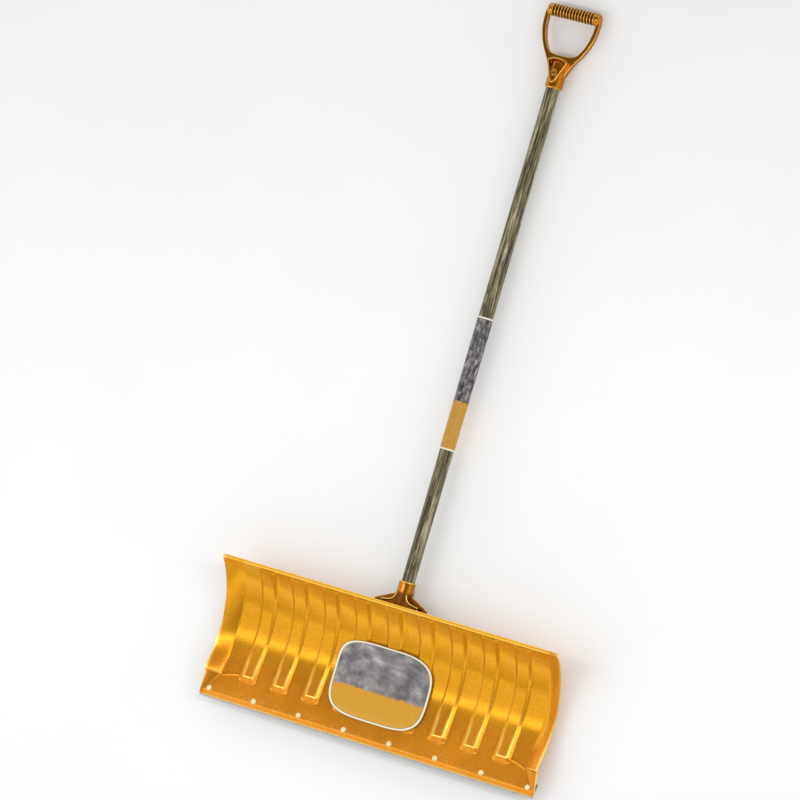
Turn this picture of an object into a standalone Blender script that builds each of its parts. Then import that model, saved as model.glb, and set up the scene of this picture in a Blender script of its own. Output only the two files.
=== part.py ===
"""Snow pusher: a moulded blade with nine flutes, a riveted steel wear strip, a bolted-on
socket bracket, a turned wooden shaft and a moulded D-grip.

Each piece is drawn in the tool's own frame: X across the blade, Y towards its back and
Z up along the shaft's axis, with Z = 0 at the moulded toe of the blade.  An empty then
lays the whole tool on its back, face up, resting on the blade's curl and the grip's bar.
All sizes are in metres.
"""
import math

import bmesh
import bpy
from mathutils import Matrix, Vector

# ---------------------------------------------------------------- driving sizes
GAP = 0.0003                     # clearance between neighbouring pieces

BLADE_WIDTH = 0.762
SHEET = 0.0035                   # wall of the blade moulding
TOE_SETBACK = 0.0122             # toe of the blade's face behind the shaft's axis
APRON_LENGTH = 0.118             # straight lower part, along the sheet
APRON_LEAN = math.radians(10.3)  # apron leans back from the shaft's axis
CURL_RADIUS = 0.160              # inside radius of the curled upper part
CURL_SWEEP = math.radians(65.3)
CURL_ROWS = 11
LIP_BEND = 0.002                 # radius of the fold at the lip
LIP_FLANGE = 0.005               # straight part of the fold, towards the back
TOE_CHAMFER_HEIGHT = 0.009
TOE_CHAMFER_DEPTH = 0.002

RIB_COUNT = 9
RIB_END = 0.0918                 # outer flute's centre from the blade's end
RIB_START = 0.046                # length up the sheet where a flute begins
RIB_END_WALL = 0.0125            # run of its sloping lower end
RIB_MID = 0.150                  # length up the sheet where its walls are steepest
RIB_STOP = 0.009                 # its upper end, below the lip
RIB_FADE = 0.008
RIB_CREST_LOW = 0.0106           # half width of the crest, at the lower end and above
RIB_CREST_MID = 0.0120
RIB_WALL_LOW = 0.0098            # run of each side wall
RIB_WALL_MID = 0.0048
RIB_WALL_TOP = 0.0068
RIB_RISE_LOW = 0.0032            # height of the crest above the face
RIB_RISE_MID = 0.0042
RIB_RISE_TOP = 0.0075

WING_WIDTH = 0.035               # end strip that flares forward
WING_SHOULDER = 0.006            # flat strip left between the wing's crease and its root
WING_TUCK = 0.003                # end edge above the ledge, inside the toe's corner
WING_FLARE_TOP = 0.0285          # forward reach of the end edge at the lip
WING_FLARE_MID = 0.0175
WING_FLARE_FOOT = 0.0215         # on the ledge
WING_FLARE_CORNER = 0.0145       # just under the ledge
WING_LEDGE = 0.050               # length up the sheet of the wing's lower ledge
WING_MID = 0.110
WING_SETTLE = 0.150              # length up the sheet where its section is evenly curved
WING_BULGE_LOW = 0.6             # exponent of its section on the ledge: steep at the crease
WING_BULGE_TOP = 1.45            # and above: steep at the edge

STRIP_HEIGHT = 0.030
STRIP_THICKNESS = 0.0012
STRIP_OVERHANG = 0.003           # steel edge below the moulded toe
STRIP_SHORT = 0.001              # strip stops this far inside each end of the blade
RIVET_COUNT = 8
RIVET_END = 0.0177               # outer rivet from the blade's end
RIVET_HEIGHT = 0.0155            # up the sheet from the toe
RIVET_SHANK = 0.0024
RIVET_HEAD = 0.0056
RIVET_DOME = 0.0026
RIVET_TAIL = 0.0042
RIVET_TAIL_HEIGHT = 0.0012

BRACKET_WALL = 0.004
SADDLE_SEAT = 0.0004             # saddle behind the sheet
SADDLE_BELOW_SCREWS = 0.0130     # its lower edge below the lower row of screws
SADDLE_BELOW_LIP = 0.004
SADDLE_HALF_WIDTH = 0.092
SADDLE_TOP_HALF_WIDTH = 0.066
SADDLE_CORNER = 0.012
COLLAR_ABOVE_LIP = 0.0562
COLLAR_WALL = 0.0033
COLLAR_RIM = 0.0007              # raised band round the collar's mouth
COLLAR_RIM_HEIGHT = 0.004
COLLAR_EDGE = 0.0006             # rounding of the rim
COLLAR_TAPER = 0.0005            # extra radius at its root
SOCKET_FLOOR = 0.0034            # plastic between the saddle and the bore's lowest edge
GUSSET_HALF_WIDTH = 0.061        # wall across the collar
GUSSET_BELOW_MOUTH = 0.0240      # its upper edge at the collar
GUSSET_ABOVE_LIP = 0.0110        # its upper edge at the ends
GUSSET_END_CHAMFER = 0.002
SKIRT_HALF_WIDTH = 0.042         # flared web in front of the collar
SKIRT_FRONT = -0.0135
SKIRT_BELOW_MOUTH = 0.0250
SKIRT_ABOVE_LIP = 0.0125
SKIRT_BEAD = 0.0017              # radius of the bead along its upper edge
FIN_SPACING = 0.011
FIN_BELOW_MOUTH = 0.0140
FIN_REACH = 0.030                # behind the shaft's axis
FIN_HEEL = 0.022                 # height of its upright rear edge
SOCKET_SCREW_DROP = 0.0260       # below the collar's mouth
SCREW_SEAT_REACH = 0.0012        # flat boss under its head
SCREW_SEAT_MARGIN = 0.0016
COLLAR_TO_SCREW = 0.0064         # from the collar's root to the middle screw's head
SCREW_ROWS_APART = 0.0280        # upper row above the lower row, along the sheet
BOSS_RADIUS = 0.007
BOSS_ROOT = 0.0015
JOIN = 0.00005                   # overlap that lets two shapes unite

SHAFT_FOOT_RADIUS = 0.0133
SHAFT_BELLY_RADIUS = 0.0150
SHAFT_HEAD_RADIUS = 0.0142
SHAFT_BELLY = 0.52               # its widest place, as a share of the visible length
SHAFT_STRAIGHT = 0.020           # even radius at each end, outside its socket
SHAFT_VISIBLE = 1.018            # from the collar's mouth to the grip's ferrule
GRIP_SOCKET_DEPTH = 0.050
SHAFT_CHAMFER = 0.001
SHAFT_ROWS = 10

FERRULE_WALL = 0.0031
FERRULE_LENGTH = 0.0605
GRIP_HEIGHT = 0.167
GRIP_HALF_WIDTH = 0.0605
BAR_RADIUS = 0.0133
BAR_INSET = 0.0015               # bar's ends inside the legs' widest place
BAR_GROOVE = 0.0011
BAR_RIDGES = 15
BAR_SMOOTH_END = 0.010
LEG_WIDTH = 0.0083
LEG_DEPTH = 0.0062
LEG_EDGE = 0.0022                # rounding of the legs' edges
THROAT_HALF_WIDTH = 0.013        # where the legs leave the ferrule
ARCH_HEIGHT = 0.0672             # bottom of the hand opening above the ferrule's mouth
SHIELD_REACH = 0.0014            # throat's rims in front of and behind the ferrule
SHIELD_WALL = 0.0024
RING_RADIUS = 0.0062
RING_DEPTH = 0.006
RING_PROUD = 0.0024              # ring in front of the ferrule
RING_HEIGHT = 0.031              # above the ferrule's mouth
HEAD_RECESS = 0.0032             # depth of the screw's head in the ring

SCREW_SHANK = 0.0020
SCREW_HEAD = 0.0042
SCREW_HEAD_HEIGHT = 0.0024
SCREW_BITE = 0.0055              # depth of a bracket screw in its boss
WOOD_BITE = 0.010
HOLE_SPARE = 0.002               # pilot hole beyond a screw's point
GRIP_SCREW_HEAD = 0.0026
GRIP_SCREW_HEAD_HEIGHT = 0.0014

LABEL_THICKNESS = 0.0006
LABEL_LIFT = 0.0012              # clear of the flutes' crests
LABEL_HALF_WIDTH = 0.1085
LABEL_LOW = 0.0422               # lowest and highest points, up the sheet
LABEL_HIGH = 0.2012
LABEL_SHIFT = -0.007
LABEL_LEAN = -0.060              # sideways shift for each unit up the sheet
LABEL_SQUARENESS = 3.8           # exponent of the rounded outline
LABEL_GRID = 12                  # faces each way
SLEEVE_LOW = 0.272               # shaft label above the collar's mouth
SLEEVE_LENGTH = 0.273
SLEEVE_WALL = 0.0004

# ---------------------------------------------------------------- dependent sizes
SHEET_LENGTH = APRON_LENGTH + CURL_RADIUS * CURL_SWEEP
APRON_RISE = Vector((0.0, math.sin(APRON_LEAN), math.cos(APRON_LEAN)))
TOE = Vector((0.0, TOE_SETBACK, 0.0))
CURL_CENTRE = (TOE + APRON_LENGTH * APRON_RISE
               - CURL_RADIUS * Vector((0.0, math.cos(APRON_LEAN), -math.sin(APRON_LEAN))))
LIP_HEIGHT = CURL_CENTRE.z + CURL_RADIUS * math.sin(CURL_SWEEP - APRON_LEAN)
RIB_PITCH = (BLADE_WIDTH - 2 * RIB_END) / (RIB_COUNT - 1)
RIB_CENTRES = [(index - (RIB_COUNT - 1) / 2) * RIB_PITCH for index in range(RIB_COUNT)]
RIVET_PITCH = (BLADE_WIDTH - 2 * RIVET_END) / (RIVET_COUNT - 1)
RIVET_PLACES = [(index - (RIVET_COUNT - 1) / 2) * RIVET_PITCH for index in range(RIVET_COUNT)]


def height_behind(place, depth):
    """Height of the curl's back, or of a layer behind it, at a place along Y."""
    reach = CURL_RADIUS + depth
    return CURL_CENTRE.z + math.sqrt(reach ** 2 - (place - CURL_CENTRE.y) ** 2)


def length_behind(place, depth):
    """Length up the sheet where the curl's back, or a layer behind it, is at a place along Y."""
    angle = math.acos((place - CURL_CENTRE.y) / (CURL_RADIUS + depth))
    return APRON_LENGTH + CURL_RADIUS * (angle + APRON_LEAN)


BORE_RADIUS = SHAFT_FOOT_RADIUS + GAP
COLLAR_RADIUS = BORE_RADIUS + COLLAR_WALL
SADDLE_BACK = SHEET + SADDLE_SEAT + BRACKET_WALL
SCREWS_LOW = length_behind(COLLAR_RADIUS + COLLAR_TO_SCREW + SCREW_HEAD, SADDLE_BACK)
SCREWS_HIGH = SCREWS_LOW + SCREW_ROWS_APART
BRACKET_SCREWS = [(-RIB_PITCH, SCREWS_LOW), (0.0, SCREWS_LOW), (RIB_PITCH, SCREWS_LOW),
                  (-RIB_PITCH, SCREWS_HIGH), (RIB_PITCH, SCREWS_HIGH)]
COLLAR_TOP = LIP_HEIGHT + COLLAR_ABOVE_LIP
BORE_FLOOR = height_behind(-BORE_RADIUS, SADDLE_BACK) + SOCKET_FLOOR
FIN_BOTTOM = height_behind(FIN_REACH, SADDLE_BACK)
SOCKET_SCREW_HEIGHT = COLLAR_TOP - SOCKET_SCREW_DROP
SHAFT_FOOT = BORE_FLOOR + GAP
FERRULE_MOUTH = COLLAR_TOP + SHAFT_VISIBLE
SHAFT_HEAD = FERRULE_MOUTH + GRIP_SOCKET_DEPTH - GAP
BAR_HEIGHT = FERRULE_MOUTH + GRIP_HEIGHT - BAR_RADIUS
FERRULE_RADIUS = SHAFT_HEAD_RADIUS + GAP + FERRULE_WALL
SHIELD_DEPTH = FERRULE_RADIUS + SHIELD_REACH
RING_REACH = FERRULE_RADIUS + RING_PROUD

COLOURS = {
    "gold_moulding": ((0.72, 0.36, 0.035), 0.32, 0.55),
    "grip_moulding": ((0.50, 0.22, 0.03), 0.35, 0.50),
    "galvanised_steel": ((0.72, 0.72, 0.70), 0.35, 1.0),
    "rivet_aluminium": ((0.85, 0.82, 0.66), 0.35, 0.9),
    "screw_steel": ((0.45, 0.45, 0.45), 0.35, 1.0),
    "stained_wood": ((0.16, 0.145, 0.10), 0.6, 0.0),
    "printed_paper": ((0.45, 0.42, 0.38), 0.45, 0.0),
}


# ---------------------------------------------------------------- scene helpers
def clear_scene():
    for thing in list(bpy.data.objects):
        bpy.data.objects.remove(thing, do_unlink=True)
    for group in list(bpy.data.collections):
        bpy.data.collections.remove(group)


def add_collection(name):
    group = bpy.data.collections.new(name)
    bpy.context.scene.collection.children.link(group)
    return group


def add_materials():
    made = {}
    for name, (colour, roughness, metallic) in COLOURS.items():
        material = bpy.data.materials.new(name)
        material.use_nodes = True
        shader = material.node_tree.nodes["Principled BSDF"]
        shader.inputs["Base Color"].default_value = (*colour, 1.0)
        shader.inputs["Roughness"].default_value = roughness
        shader.inputs["Metallic"].default_value = metallic
        made[name] = material
    return made


def place_piece(name, mesh, material):
    """Put a finished mesh in the tool's frame as one named piece."""
    piece = bpy.data.objects.new(name, mesh)
    PIECES.objects.link(piece)
    piece.parent = TOOL
    mesh.materials.clear()
    mesh.materials.append(MATERIALS[material])
    return piece


def place_shape(name, mesh):
    """A helper shape that only cuts or joins another piece."""
    shape = bpy.data.objects.new(name, mesh)
    SHAPES.objects.link(shape)
    shape.parent = TOOL
    shape.hide_render = True
    shape.display_type = "WIRE"
    return shape


def combine(piece, shape, operation):
    step = piece.modifiers.new(shape.name, "BOOLEAN")
    step.operation = operation
    step.object = shape
    step.solver = "EXACT"
    return step


def smooth(mesh, angle=35.0):
    mesh.shade_smooth()
    mesh.set_sharp_from_angle(angle=math.radians(angle))


def skin_rows(name, rows):
    """An open surface through rows of points, wound so that it faces -Y."""
    surface = bmesh.new()
    grid = [[surface.verts.new(point) for point in row] for row in rows]
    for lower, upper in zip(grid, grid[1:]):
        for index in range(len(lower) - 1):
            surface.faces.new((lower[index], lower[index + 1], upper[index + 1], upper[index]))
    mesh = bpy.data.meshes.new(name)
    surface.to_mesh(mesh)
    surface.free()
    return mesh


def profile_mesh(name, points, closed=False):
    """A polyline in the XZ plane, for the Screw modifier to turn."""
    line = bmesh.new()
    corners = [line.verts.new((radius, 0.0, height)) for radius, height in points]
    for first, second in zip(corners, corners[1:]):
        line.edges.new((first, second))
    if closed:
        line.edges.new((corners[-1], corners[0]))
    mesh = bpy.data.meshes.new(name)
    line.to_mesh(mesh)
    line.free()
    return mesh


def add_turning(thing, steps):
    turn = thing.modifiers.new("turning", "SCREW")
    turn.axis = "Z"
    turn.angle = math.tau
    turn.steps = steps
    turn.render_steps = steps
    turn.use_merge_vertices = True
    turn.merge_threshold = 0.00005
    turn.use_smooth_shade = True


def add_thickness(piece, thickness):
    wall = piece.modifiers.new("wall", "SOLIDIFY")
    wall.thickness = thickness
    wall.offset = -1.0
    wall.use_even_offset = True
    return wall


def cylinder_mesh(name, radius, bottom, top, segments=32):
    """A cylinder along Z between two heights."""
    shape = bmesh.new()
    lift = Matrix.Translation((0.0, 0.0, (bottom + top) / 2))
    bmesh.ops.create_cone(shape, cap_ends=True, segments=segments, radius1=radius,
                          radius2=radius, depth=top - bottom, matrix=lift)
    mesh = bpy.data.meshes.new(name)
    shape.to_mesh(mesh)
    shape.free()
    return mesh


def box_mesh(name, low, high):
    shape = bmesh.new()
    size = [upper - lower for lower, upper in zip(low, high)]
    middle = [(upper + lower) / 2 for lower, upper in zip(low, high)]
    bmesh.ops.create_cube(shape, size=1.0,
                          matrix=Matrix.Translation(middle) @ Matrix.Diagonal((*size, 1.0)))
    mesh = bpy.data.meshes.new(name)
    shape.to_mesh(mesh)
    shape.free()
    return mesh


def finished_mesh(name, data, turning_steps=0):
    """A curve or a turned profile as a plain closed mesh."""
    holder = bpy.data.objects.new(name, data)
    SHAPES.objects.link(holder)
    if turning_steps:
        add_turning(holder, turning_steps)
    bpy.context.view_layer.update()
    graph = bpy.context.evaluated_depsgraph_get()
    mesh = bpy.data.meshes.new_from_object(holder.evaluated_get(graph))
    bpy.data.objects.remove(holder, do_unlink=True)
    weld = bmesh.new()
    weld.from_mesh(mesh)
    bmesh.ops.remove_doubles(weld, verts=weld.verts, dist=0.00002)
    bmesh.ops.recalc_face_normals(weld, faces=weld.faces)
    weld.to_mesh(mesh)
    weld.free()
    return mesh


def outline_mesh(name, loops, half_depth, smooth_handles=True, resolution=2):
    """A flat outline in the XZ plane, extruded both ways along Y."""
    curve = bpy.data.curves.new(name, "CURVE")
    curve.dimensions = "2D"
    curve.fill_mode = "BOTH"
    curve.extrude = half_depth
    curve.resolution_u = resolution
    for loop in loops:
        if smooth_handles:
            spline = curve.splines.new("BEZIER")
            spline.bezier_points.add(len(loop) - 1)
            for knot, (x, z) in zip(spline.bezier_points, loop):
                knot.co = (x, z, 0.0)
                knot.handle_left_type = "AUTO"
                knot.handle_right_type = "AUTO"
        else:
            spline = curve.splines.new("POLY")
            spline.points.add(len(loop) - 1)
            for knot, (x, z) in zip(spline.points, loop):
                knot.co = (x, z, 0.0, 1.0)
        spline.use_cyclic_u = True
    mesh = finished_mesh(name, curve)
    mesh.transform(Matrix.Rotation(math.radians(90), 4, "X"))
    return mesh


def tube_mesh(name, route, radius):
    """A round bar along a smooth route, with closed ends."""
    curve = bpy.data.curves.new(name, "CURVE")
    curve.dimensions = "3D"
    curve.bevel_depth = radius
    curve.bevel_resolution = 2
    curve.use_fill_caps = True
    curve.resolution_u = 3
    spline = curve.splines.new("BEZIER")
    spline.bezier_points.add(len(route) - 1)
    for knot, place in zip(spline.bezier_points, route):
        knot.co = place
        knot.handle_left_type = "AUTO"
        knot.handle_right_type = "AUTO"
    return finished_mesh(name, curve)


def ease(low, high, amount):
    """Smooth step from 0 at low to 1 at high."""
    share = min(1.0, max(0.0, (amount - low) / (high - low)))
    return share * share * (3.0 - 2.0 * share)


def blend(first, second, share):
    return first + (second - first) * share


# ---------------------------------------------------------------- the blade's form
def sheet_angle(length):
    """Angle of the sheet's outward radius at a length up from the toe."""
    if length <= APRON_LENGTH:
        return -APRON_LEAN
    return -APRON_LEAN + (length - APRON_LENGTH) / CURL_RADIUS


def sheet_point(length):
    """Point on the blade's face profile, at X = 0."""
    if length <= APRON_LENGTH:
        return TOE + length * APRON_RISE
    return CURL_CENTRE - CURL_RADIUS * sheet_normal(length)


def sheet_normal(length):
    """Unit normal of the face, towards the front."""
    angle = sheet_angle(length)
    return Vector((0.0, -math.cos(angle), -math.sin(angle)))


def rib_rise(length):
    """Height of a flute's crest above the face."""
    rib_top = SHEET_LENGTH - RIB_STOP
    start = min(1.0, max(0.0, (length - RIB_START) / RIB_END_WALL))
    finish = 1.0 - ease(rib_top - RIB_FADE, rib_top, length)
    height = along_rib(length, RIB_RISE_LOW, RIB_RISE_MID, RIB_RISE_TOP)
    return height * start * finish


def along_rib(length, low, middle, top):
    """Value at a length up a flute, between those at its foot, middle and head."""
    foot = RIB_START + RIB_END_WALL
    head = SHEET_LENGTH - RIB_STOP - RIB_FADE
    if length < RIB_MID:
        return blend(low, middle, ease(foot, RIB_MID, length))
    return blend(middle, top, ease(RIB_MID, head, length))


def rib_half_widths(length):
    """Half widths of a flute's crest and foot, drawn in round its lower end."""
    share = min(1.0, max(0.0, (length - RIB_START) / RIB_END_WALL))
    corner = math.sqrt(1.0 - (1.0 - share) ** 2)
    if share < 1.0:
        below = max(0.0, RIB_START - length)
        corner = min(1.0, corner + below / RIB_START)
    crest = along_rib(length, RIB_CREST_LOW, RIB_CREST_MID, RIB_CREST_MID)
    wall = along_rib(length, RIB_WALL_LOW, RIB_WALL_MID, RIB_WALL_TOP)
    return crest, crest + wall * blend(0.45, 1.0, corner)


def wing_crease(length):
    """Distance of the wing's crease from the end, running in to the toe's corner."""
    start = RIVET_HEIGHT * 0.4
    share = min(1.0, max(0.0, (length - start) / (WING_LEDGE - start)))
    return blend(0.004, WING_WIDTH, share)


def wing_flare(length):
    """Forward reach of the blade's end edge."""
    if length < WING_LEDGE:
        return WING_FLARE_CORNER * (length / WING_LEDGE)
    if length < WING_MID:
        return blend(WING_FLARE_FOOT, WING_FLARE_MID, ease(WING_LEDGE, WING_MID, length))
    return blend(WING_FLARE_MID, WING_FLARE_TOP, ease(WING_MID - 0.02, SHEET_LENGTH - 0.01, length))


def face_stations(length):
    """(x, rise, forward) across one row of the face, from end to end."""
    crease = wing_crease(length)
    flare = wing_flare(length)
    bulge = blend(WING_BULGE_LOW, WING_BULGE_TOP, ease(WING_LEDGE, WING_SETTLE, length))
    root = BLADE_WIDTH / 2 - crease
    edge = BLADE_WIDTH / 2 - WING_TUCK * ease(0.0, WING_LEDGE, length)
    wing = [(blend(root, edge, share), flare * share ** bulge) for share in (1.0, 0.66, 0.30, 0.0)]
    wing.append((BLADE_WIDTH / 2 - WING_WIDTH - WING_SHOULDER, 0.0))
    crest, foot = rib_half_widths(length)
    rise = rib_rise(length)
    row = [(-x, 0.0, forward) for x, forward in wing]
    for centre in RIB_CENTRES:
        row.append((centre - foot, 0.0, 0.0))
        row.append((centre - crest, rise, 0.0))
        row.append((centre + crest, rise, 0.0))
        row.append((centre + foot, 0.0, 0.0))
    row.extend((x, 0.0, forward) for x, forward in reversed(wing))
    return row


def face_row(length):
    points = []
    for x, rise, forward in face_stations(length):
        place = sheet_point(length) + rise * sheet_normal(length)
        points.append(Vector((x, place.y - forward, place.z)))
    return points


def flange_rows():
    """The fold that turns back over the lip."""
    along = sheet_point(SHEET_LENGTH) - sheet_point(SHEET_LENGTH - 0.0005)
    along.normalize()
    back = -sheet_normal(SHEET_LENGTH)
    rows = []
    for turn, reach in ((45.0, 0.0), (90.0, 0.0), (90.0, LIP_FLANGE)):
        turn = math.radians(turn)
        step = back * (LIP_BEND * (1.0 - math.cos(turn)) + reach) + along * LIP_BEND * math.sin(turn)
        rows.append([point + step for point in face_row(SHEET_LENGTH)])
    return rows


def face_lengths():
    """Lengths up the sheet where the blade's rows lie."""
    apron = [0.0, TOE_CHAMFER_HEIGHT + 0.003, 0.026, RIB_START - 0.006]
    apron += [RIB_START + RIB_END_WALL * share for share in (0.0, 0.2, 0.55)]
    apron += [WING_LEDGE + 0.0015, RIB_START + RIB_END_WALL, 0.078, 0.098]
    apron.append(WING_LEDGE - 0.0015)
    curl = [APRON_LENGTH + CURL_RADIUS * CURL_SWEEP * index / CURL_ROWS for index in range(CURL_ROWS)]
    rib_top = SHEET_LENGTH - RIB_STOP
    top = [rib_top - RIB_FADE, rib_top, SHEET_LENGTH]
    curl = [length for length in curl if length < rib_top - RIB_FADE - 0.004]
    return sorted(set(apron)) + curl + top


def on_sheet(x, length, depth):
    """Frame on the blade: local Z points to the front, origin behind the face by depth."""
    normal = sheet_normal(length)
    across = Vector((1.0, 0.0, 0.0))
    up = normal.cross(across)
    place = sheet_point(length) - depth * normal
    turn = Matrix((across, up, normal)).transposed().to_4x4()
    return Matrix.Translation((x, place.y, place.z)) @ turn


# ---------------------------------------------------------------- pieces
def add_blade():
    rows = [face_row(length) for length in face_lengths()] + flange_rows()
    mesh = skin_rows("blade", rows)
    smooth(mesh)
    blade = place_piece("blade", mesh, "gold_moulding")
    add_thickness(blade, SHEET)
    combine(blade, toe_cutter(), "DIFFERENCE")
    for index, (x, length) in enumerate(BRACKET_SCREWS, start=1):
        combine(blade, screw_boss("boss_%d" % index, x, length), "UNION")
        combine(blade, screw_pilot("pilot_%d" % index, x, length), "DIFFERENCE")
    for index, x in enumerate(RIVET_PLACES, start=1):
        combine(blade, rivet_hole("blade_rivet_hole_%d" % index, x), "DIFFERENCE")
    return blade


def toe_cutter():
    """Wedge that thins the toe from its front."""
    slope = math.atan2(TOE_CHAMFER_DEPTH, TOE_CHAMFER_HEIGHT)
    reach = TOE_CHAMFER_HEIGHT * 1.6
    half = BLADE_WIDTH / 2 + WING_WIDTH
    mesh = box_mesh("toe_cutter", (-half, -reach, 0.0), (half, 0.0, SHEET * 2))
    cutter = place_shape("toe_cutter", mesh)
    cutter.matrix_local = on_sheet(0.0, TOE_CHAMFER_HEIGHT, 0.0) @ Matrix.Rotation(slope, 4, "X")
    return cutter


def rivet_hole(name, x):
    depth = SHEET + STRIP_THICKNESS
    mesh = cylinder_mesh(name, RIVET_SHANK + GAP, -2 * depth, 2 * depth, segments=16)
    hole = place_shape(name, mesh)
    hole.matrix_local = on_sheet(x, RIVET_HEIGHT, 0.0)
    return hole


def screw_boss(name, x, length):
    """Plug of plastic that fills the hollow behind a flute, to hold a screw."""
    inner = rib_rise(length) + BOSS_ROOT
    mesh = cylinder_mesh(name, BOSS_RADIUS, JOIN, inner, segments=20)
    boss = place_shape(name, mesh)
    boss.matrix_local = on_sheet(x, length, SHEET)
    return boss


def screw_pilot(name, x, length):
    mesh = cylinder_mesh(name, SCREW_SHANK + GAP, -SHEET, SCREW_BITE + GAP, segments=16)
    pilot = place_shape(name, mesh)
    pilot.matrix_local = on_sheet(x, length, SHEET)
    return pilot


def add_wear_strip():
    half = BLADE_WIDTH / 2 - STRIP_SHORT
    low = (-half, -STRIP_OVERHANG, -STRIP_THICKNESS)
    high = (half, STRIP_HEIGHT - STRIP_OVERHANG, 0.0)
    strip = place_piece("wear_strip", box_mesh("wear_strip", low, high), "galvanised_steel")
    strip.matrix_local = on_sheet(0.0, 0.0, SHEET + GAP)
    for index, x in enumerate(RIVET_PLACES, start=1):
        combine(strip, rivet_hole("strip_rivet_hole_%d" % index, x), "DIFFERENCE")


def add_rivets():
    """Domed heads on the face, upset tails behind the steel strip."""
    tail = GAP + SHEET + GAP + STRIP_THICKNESS + GAP
    points = [(0.0, RIVET_DOME), (RIVET_HEAD * 0.45, RIVET_DOME * 0.92),
              (RIVET_HEAD * 0.80, RIVET_DOME * 0.62), (RIVET_HEAD, RIVET_DOME * 0.12),
              (RIVET_HEAD * 0.97, 0.0), (RIVET_SHANK, 0.0), (RIVET_SHANK, -tail),
              (RIVET_TAIL, -tail), (RIVET_TAIL * 0.9, -tail - RIVET_TAIL_HEIGHT),
              (0.0, -tail - RIVET_TAIL_HEIGHT)]
    mesh = profile_mesh("strip_rivet", points)
    for index, x in enumerate(RIVET_PLACES, start=1):
        rivet = place_piece("strip_rivet_%d" % index, mesh, "rivet_aluminium")
        rivet.matrix_local = on_sheet(x, RIVET_HEIGHT, -GAP)
        add_turning(rivet, 14)


def add_bracket():
    """Saddle on the blade's back, collar for the shaft, wall across it, front skirt, rear fins."""
    mesh = skin_rows("socket_bracket", saddle_rows())
    bracket = place_piece("socket_bracket", mesh, "grip_moulding")
    add_thickness(bracket, BRACKET_WALL)
    collar = place_shape("collar_body", collar_mesh())
    combine(bracket, collar, "UNION")
    combine(bracket, place_shape("gusset_wall", gusset_mesh()), "UNION")
    for side in (-1, 1):
        combine(bracket, rear_fin(side), "UNION")
    combine(bracket, place_shape("front_skirt", skirt_mesh()), "UNION")
    for side in (-1, 1):
        combine(bracket, place_shape("skirt_bead_%d" % side, skirt_bead_mesh(side)), "UNION")
    combine(bracket, screw_seat(), "UNION")
    combine(bracket, blade_envelope(), "DIFFERENCE")
    bore = cylinder_mesh("socket_bore", BORE_RADIUS, BORE_FLOOR, COLLAR_TOP + COLLAR_WALL, segments=32)
    combine(bracket, place_shape("socket_bore", bore), "DIFFERENCE")
    combine(bracket, socket_screw_hole("collar_screw_hole"), "DIFFERENCE")
    for index, (x, length) in enumerate(BRACKET_SCREWS, start=1):
        combine(bracket, bracket_screw_hole("saddle_hole_%d" % index, x, length), "DIFFERENCE")
    return bracket


def saddle_rows():
    top = SHEET_LENGTH - SADDLE_BELOW_LIP
    depth = SHEET + SADDLE_SEAT
    rows = []
    for index in range(9):
        length = blend(SCREWS_LOW - SADDLE_BELOW_SCREWS, top, index / 8)
        corner = math.sqrt(1.0 - (1.0 - min(1.0, index / 2)) ** 2)
        half = blend(SADDLE_HALF_WIDTH, SADDLE_TOP_HALF_WIDTH, ease(0.0, 1.0, index / 8))
        half -= SADDLE_CORNER * (1.0 - corner)
        place = sheet_point(length) - depth * sheet_normal(length)
        rows.append([Vector((half * share / 6, place.y, place.z)) for share in range(-6, 7)])
    return rows


def collar_mesh():
    rim = COLLAR_RADIUS + COLLAR_RIM
    points = [(0.0, COLLAR_TOP), (rim - COLLAR_EDGE, COLLAR_TOP), (rim, COLLAR_TOP - COLLAR_EDGE),
              (rim, COLLAR_TOP - COLLAR_RIM_HEIGHT),
              (COLLAR_RADIUS, COLLAR_TOP - COLLAR_RIM_HEIGHT - COLLAR_RIM),
              (COLLAR_RADIUS + COLLAR_TAPER, FIN_BOTTOM), (0.0, FIN_BOTTOM)]
    return turned_mesh("collar_body", points, 36)


def turned_mesh(name, points, steps):
    """A turned solid as a plain mesh."""
    return finished_mesh(name, profile_mesh(name, points), turning_steps=steps)


def gusset_mesh():
    """Wall across the collar, through the shaft's axis, down to the saddle."""
    side = COLLAR_RADIUS * 0.9
    top = COLLAR_TOP - GUSSET_BELOW_MOUTH
    outer_top = LIP_HEIGHT + GUSSET_ABOVE_LIP
    bottom = height_behind(0.0, SHEET)
    right = [(GUSSET_HALF_WIDTH, bottom), (GUSSET_HALF_WIDTH, outer_top - GUSSET_END_CHAMFER),
             (GUSSET_HALF_WIDTH - GUSSET_END_CHAMFER, outer_top), (side, top)]
    loop = right + [(-x, z) for x, z in reversed(right)]
    return outline_mesh("gusset_wall", [loop], BRACKET_WALL / 2, smooth_handles=False)


def skirt_edge():
    """Upper edge of the web in front of the collar, from the collar outwards."""
    top = COLLAR_TOP - SKIRT_BELOW_MOUTH
    outer_top = LIP_HEIGHT + SKIRT_ABOVE_LIP
    fall = top - outer_top
    return [(SKIRT_HALF_WIDTH * 0.25, top), (SKIRT_HALF_WIDTH * 0.31, top - 0.35 * fall),
            (SKIRT_HALF_WIDTH * 0.42, top - 0.68 * fall), (SKIRT_HALF_WIDTH * 0.66, top - 0.90 * fall),
            (SKIRT_HALF_WIDTH, outer_top)]


def skirt_mesh():
    """Web in front of the collar that spreads its load along the lip."""
    bottom = height_behind(SKIRT_FRONT, SHEET)
    right = [(SKIRT_HALF_WIDTH, bottom)] + list(reversed(skirt_edge()))
    loop = right + [(-x, z) for x, z in reversed(right)]
    mesh = outline_mesh("front_skirt", [loop], BRACKET_WALL / 2, smooth_handles=False)
    mesh.transform(Matrix.Translation((0.0, SKIRT_FRONT + BRACKET_WALL / 2, 0.0)))
    return mesh


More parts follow.
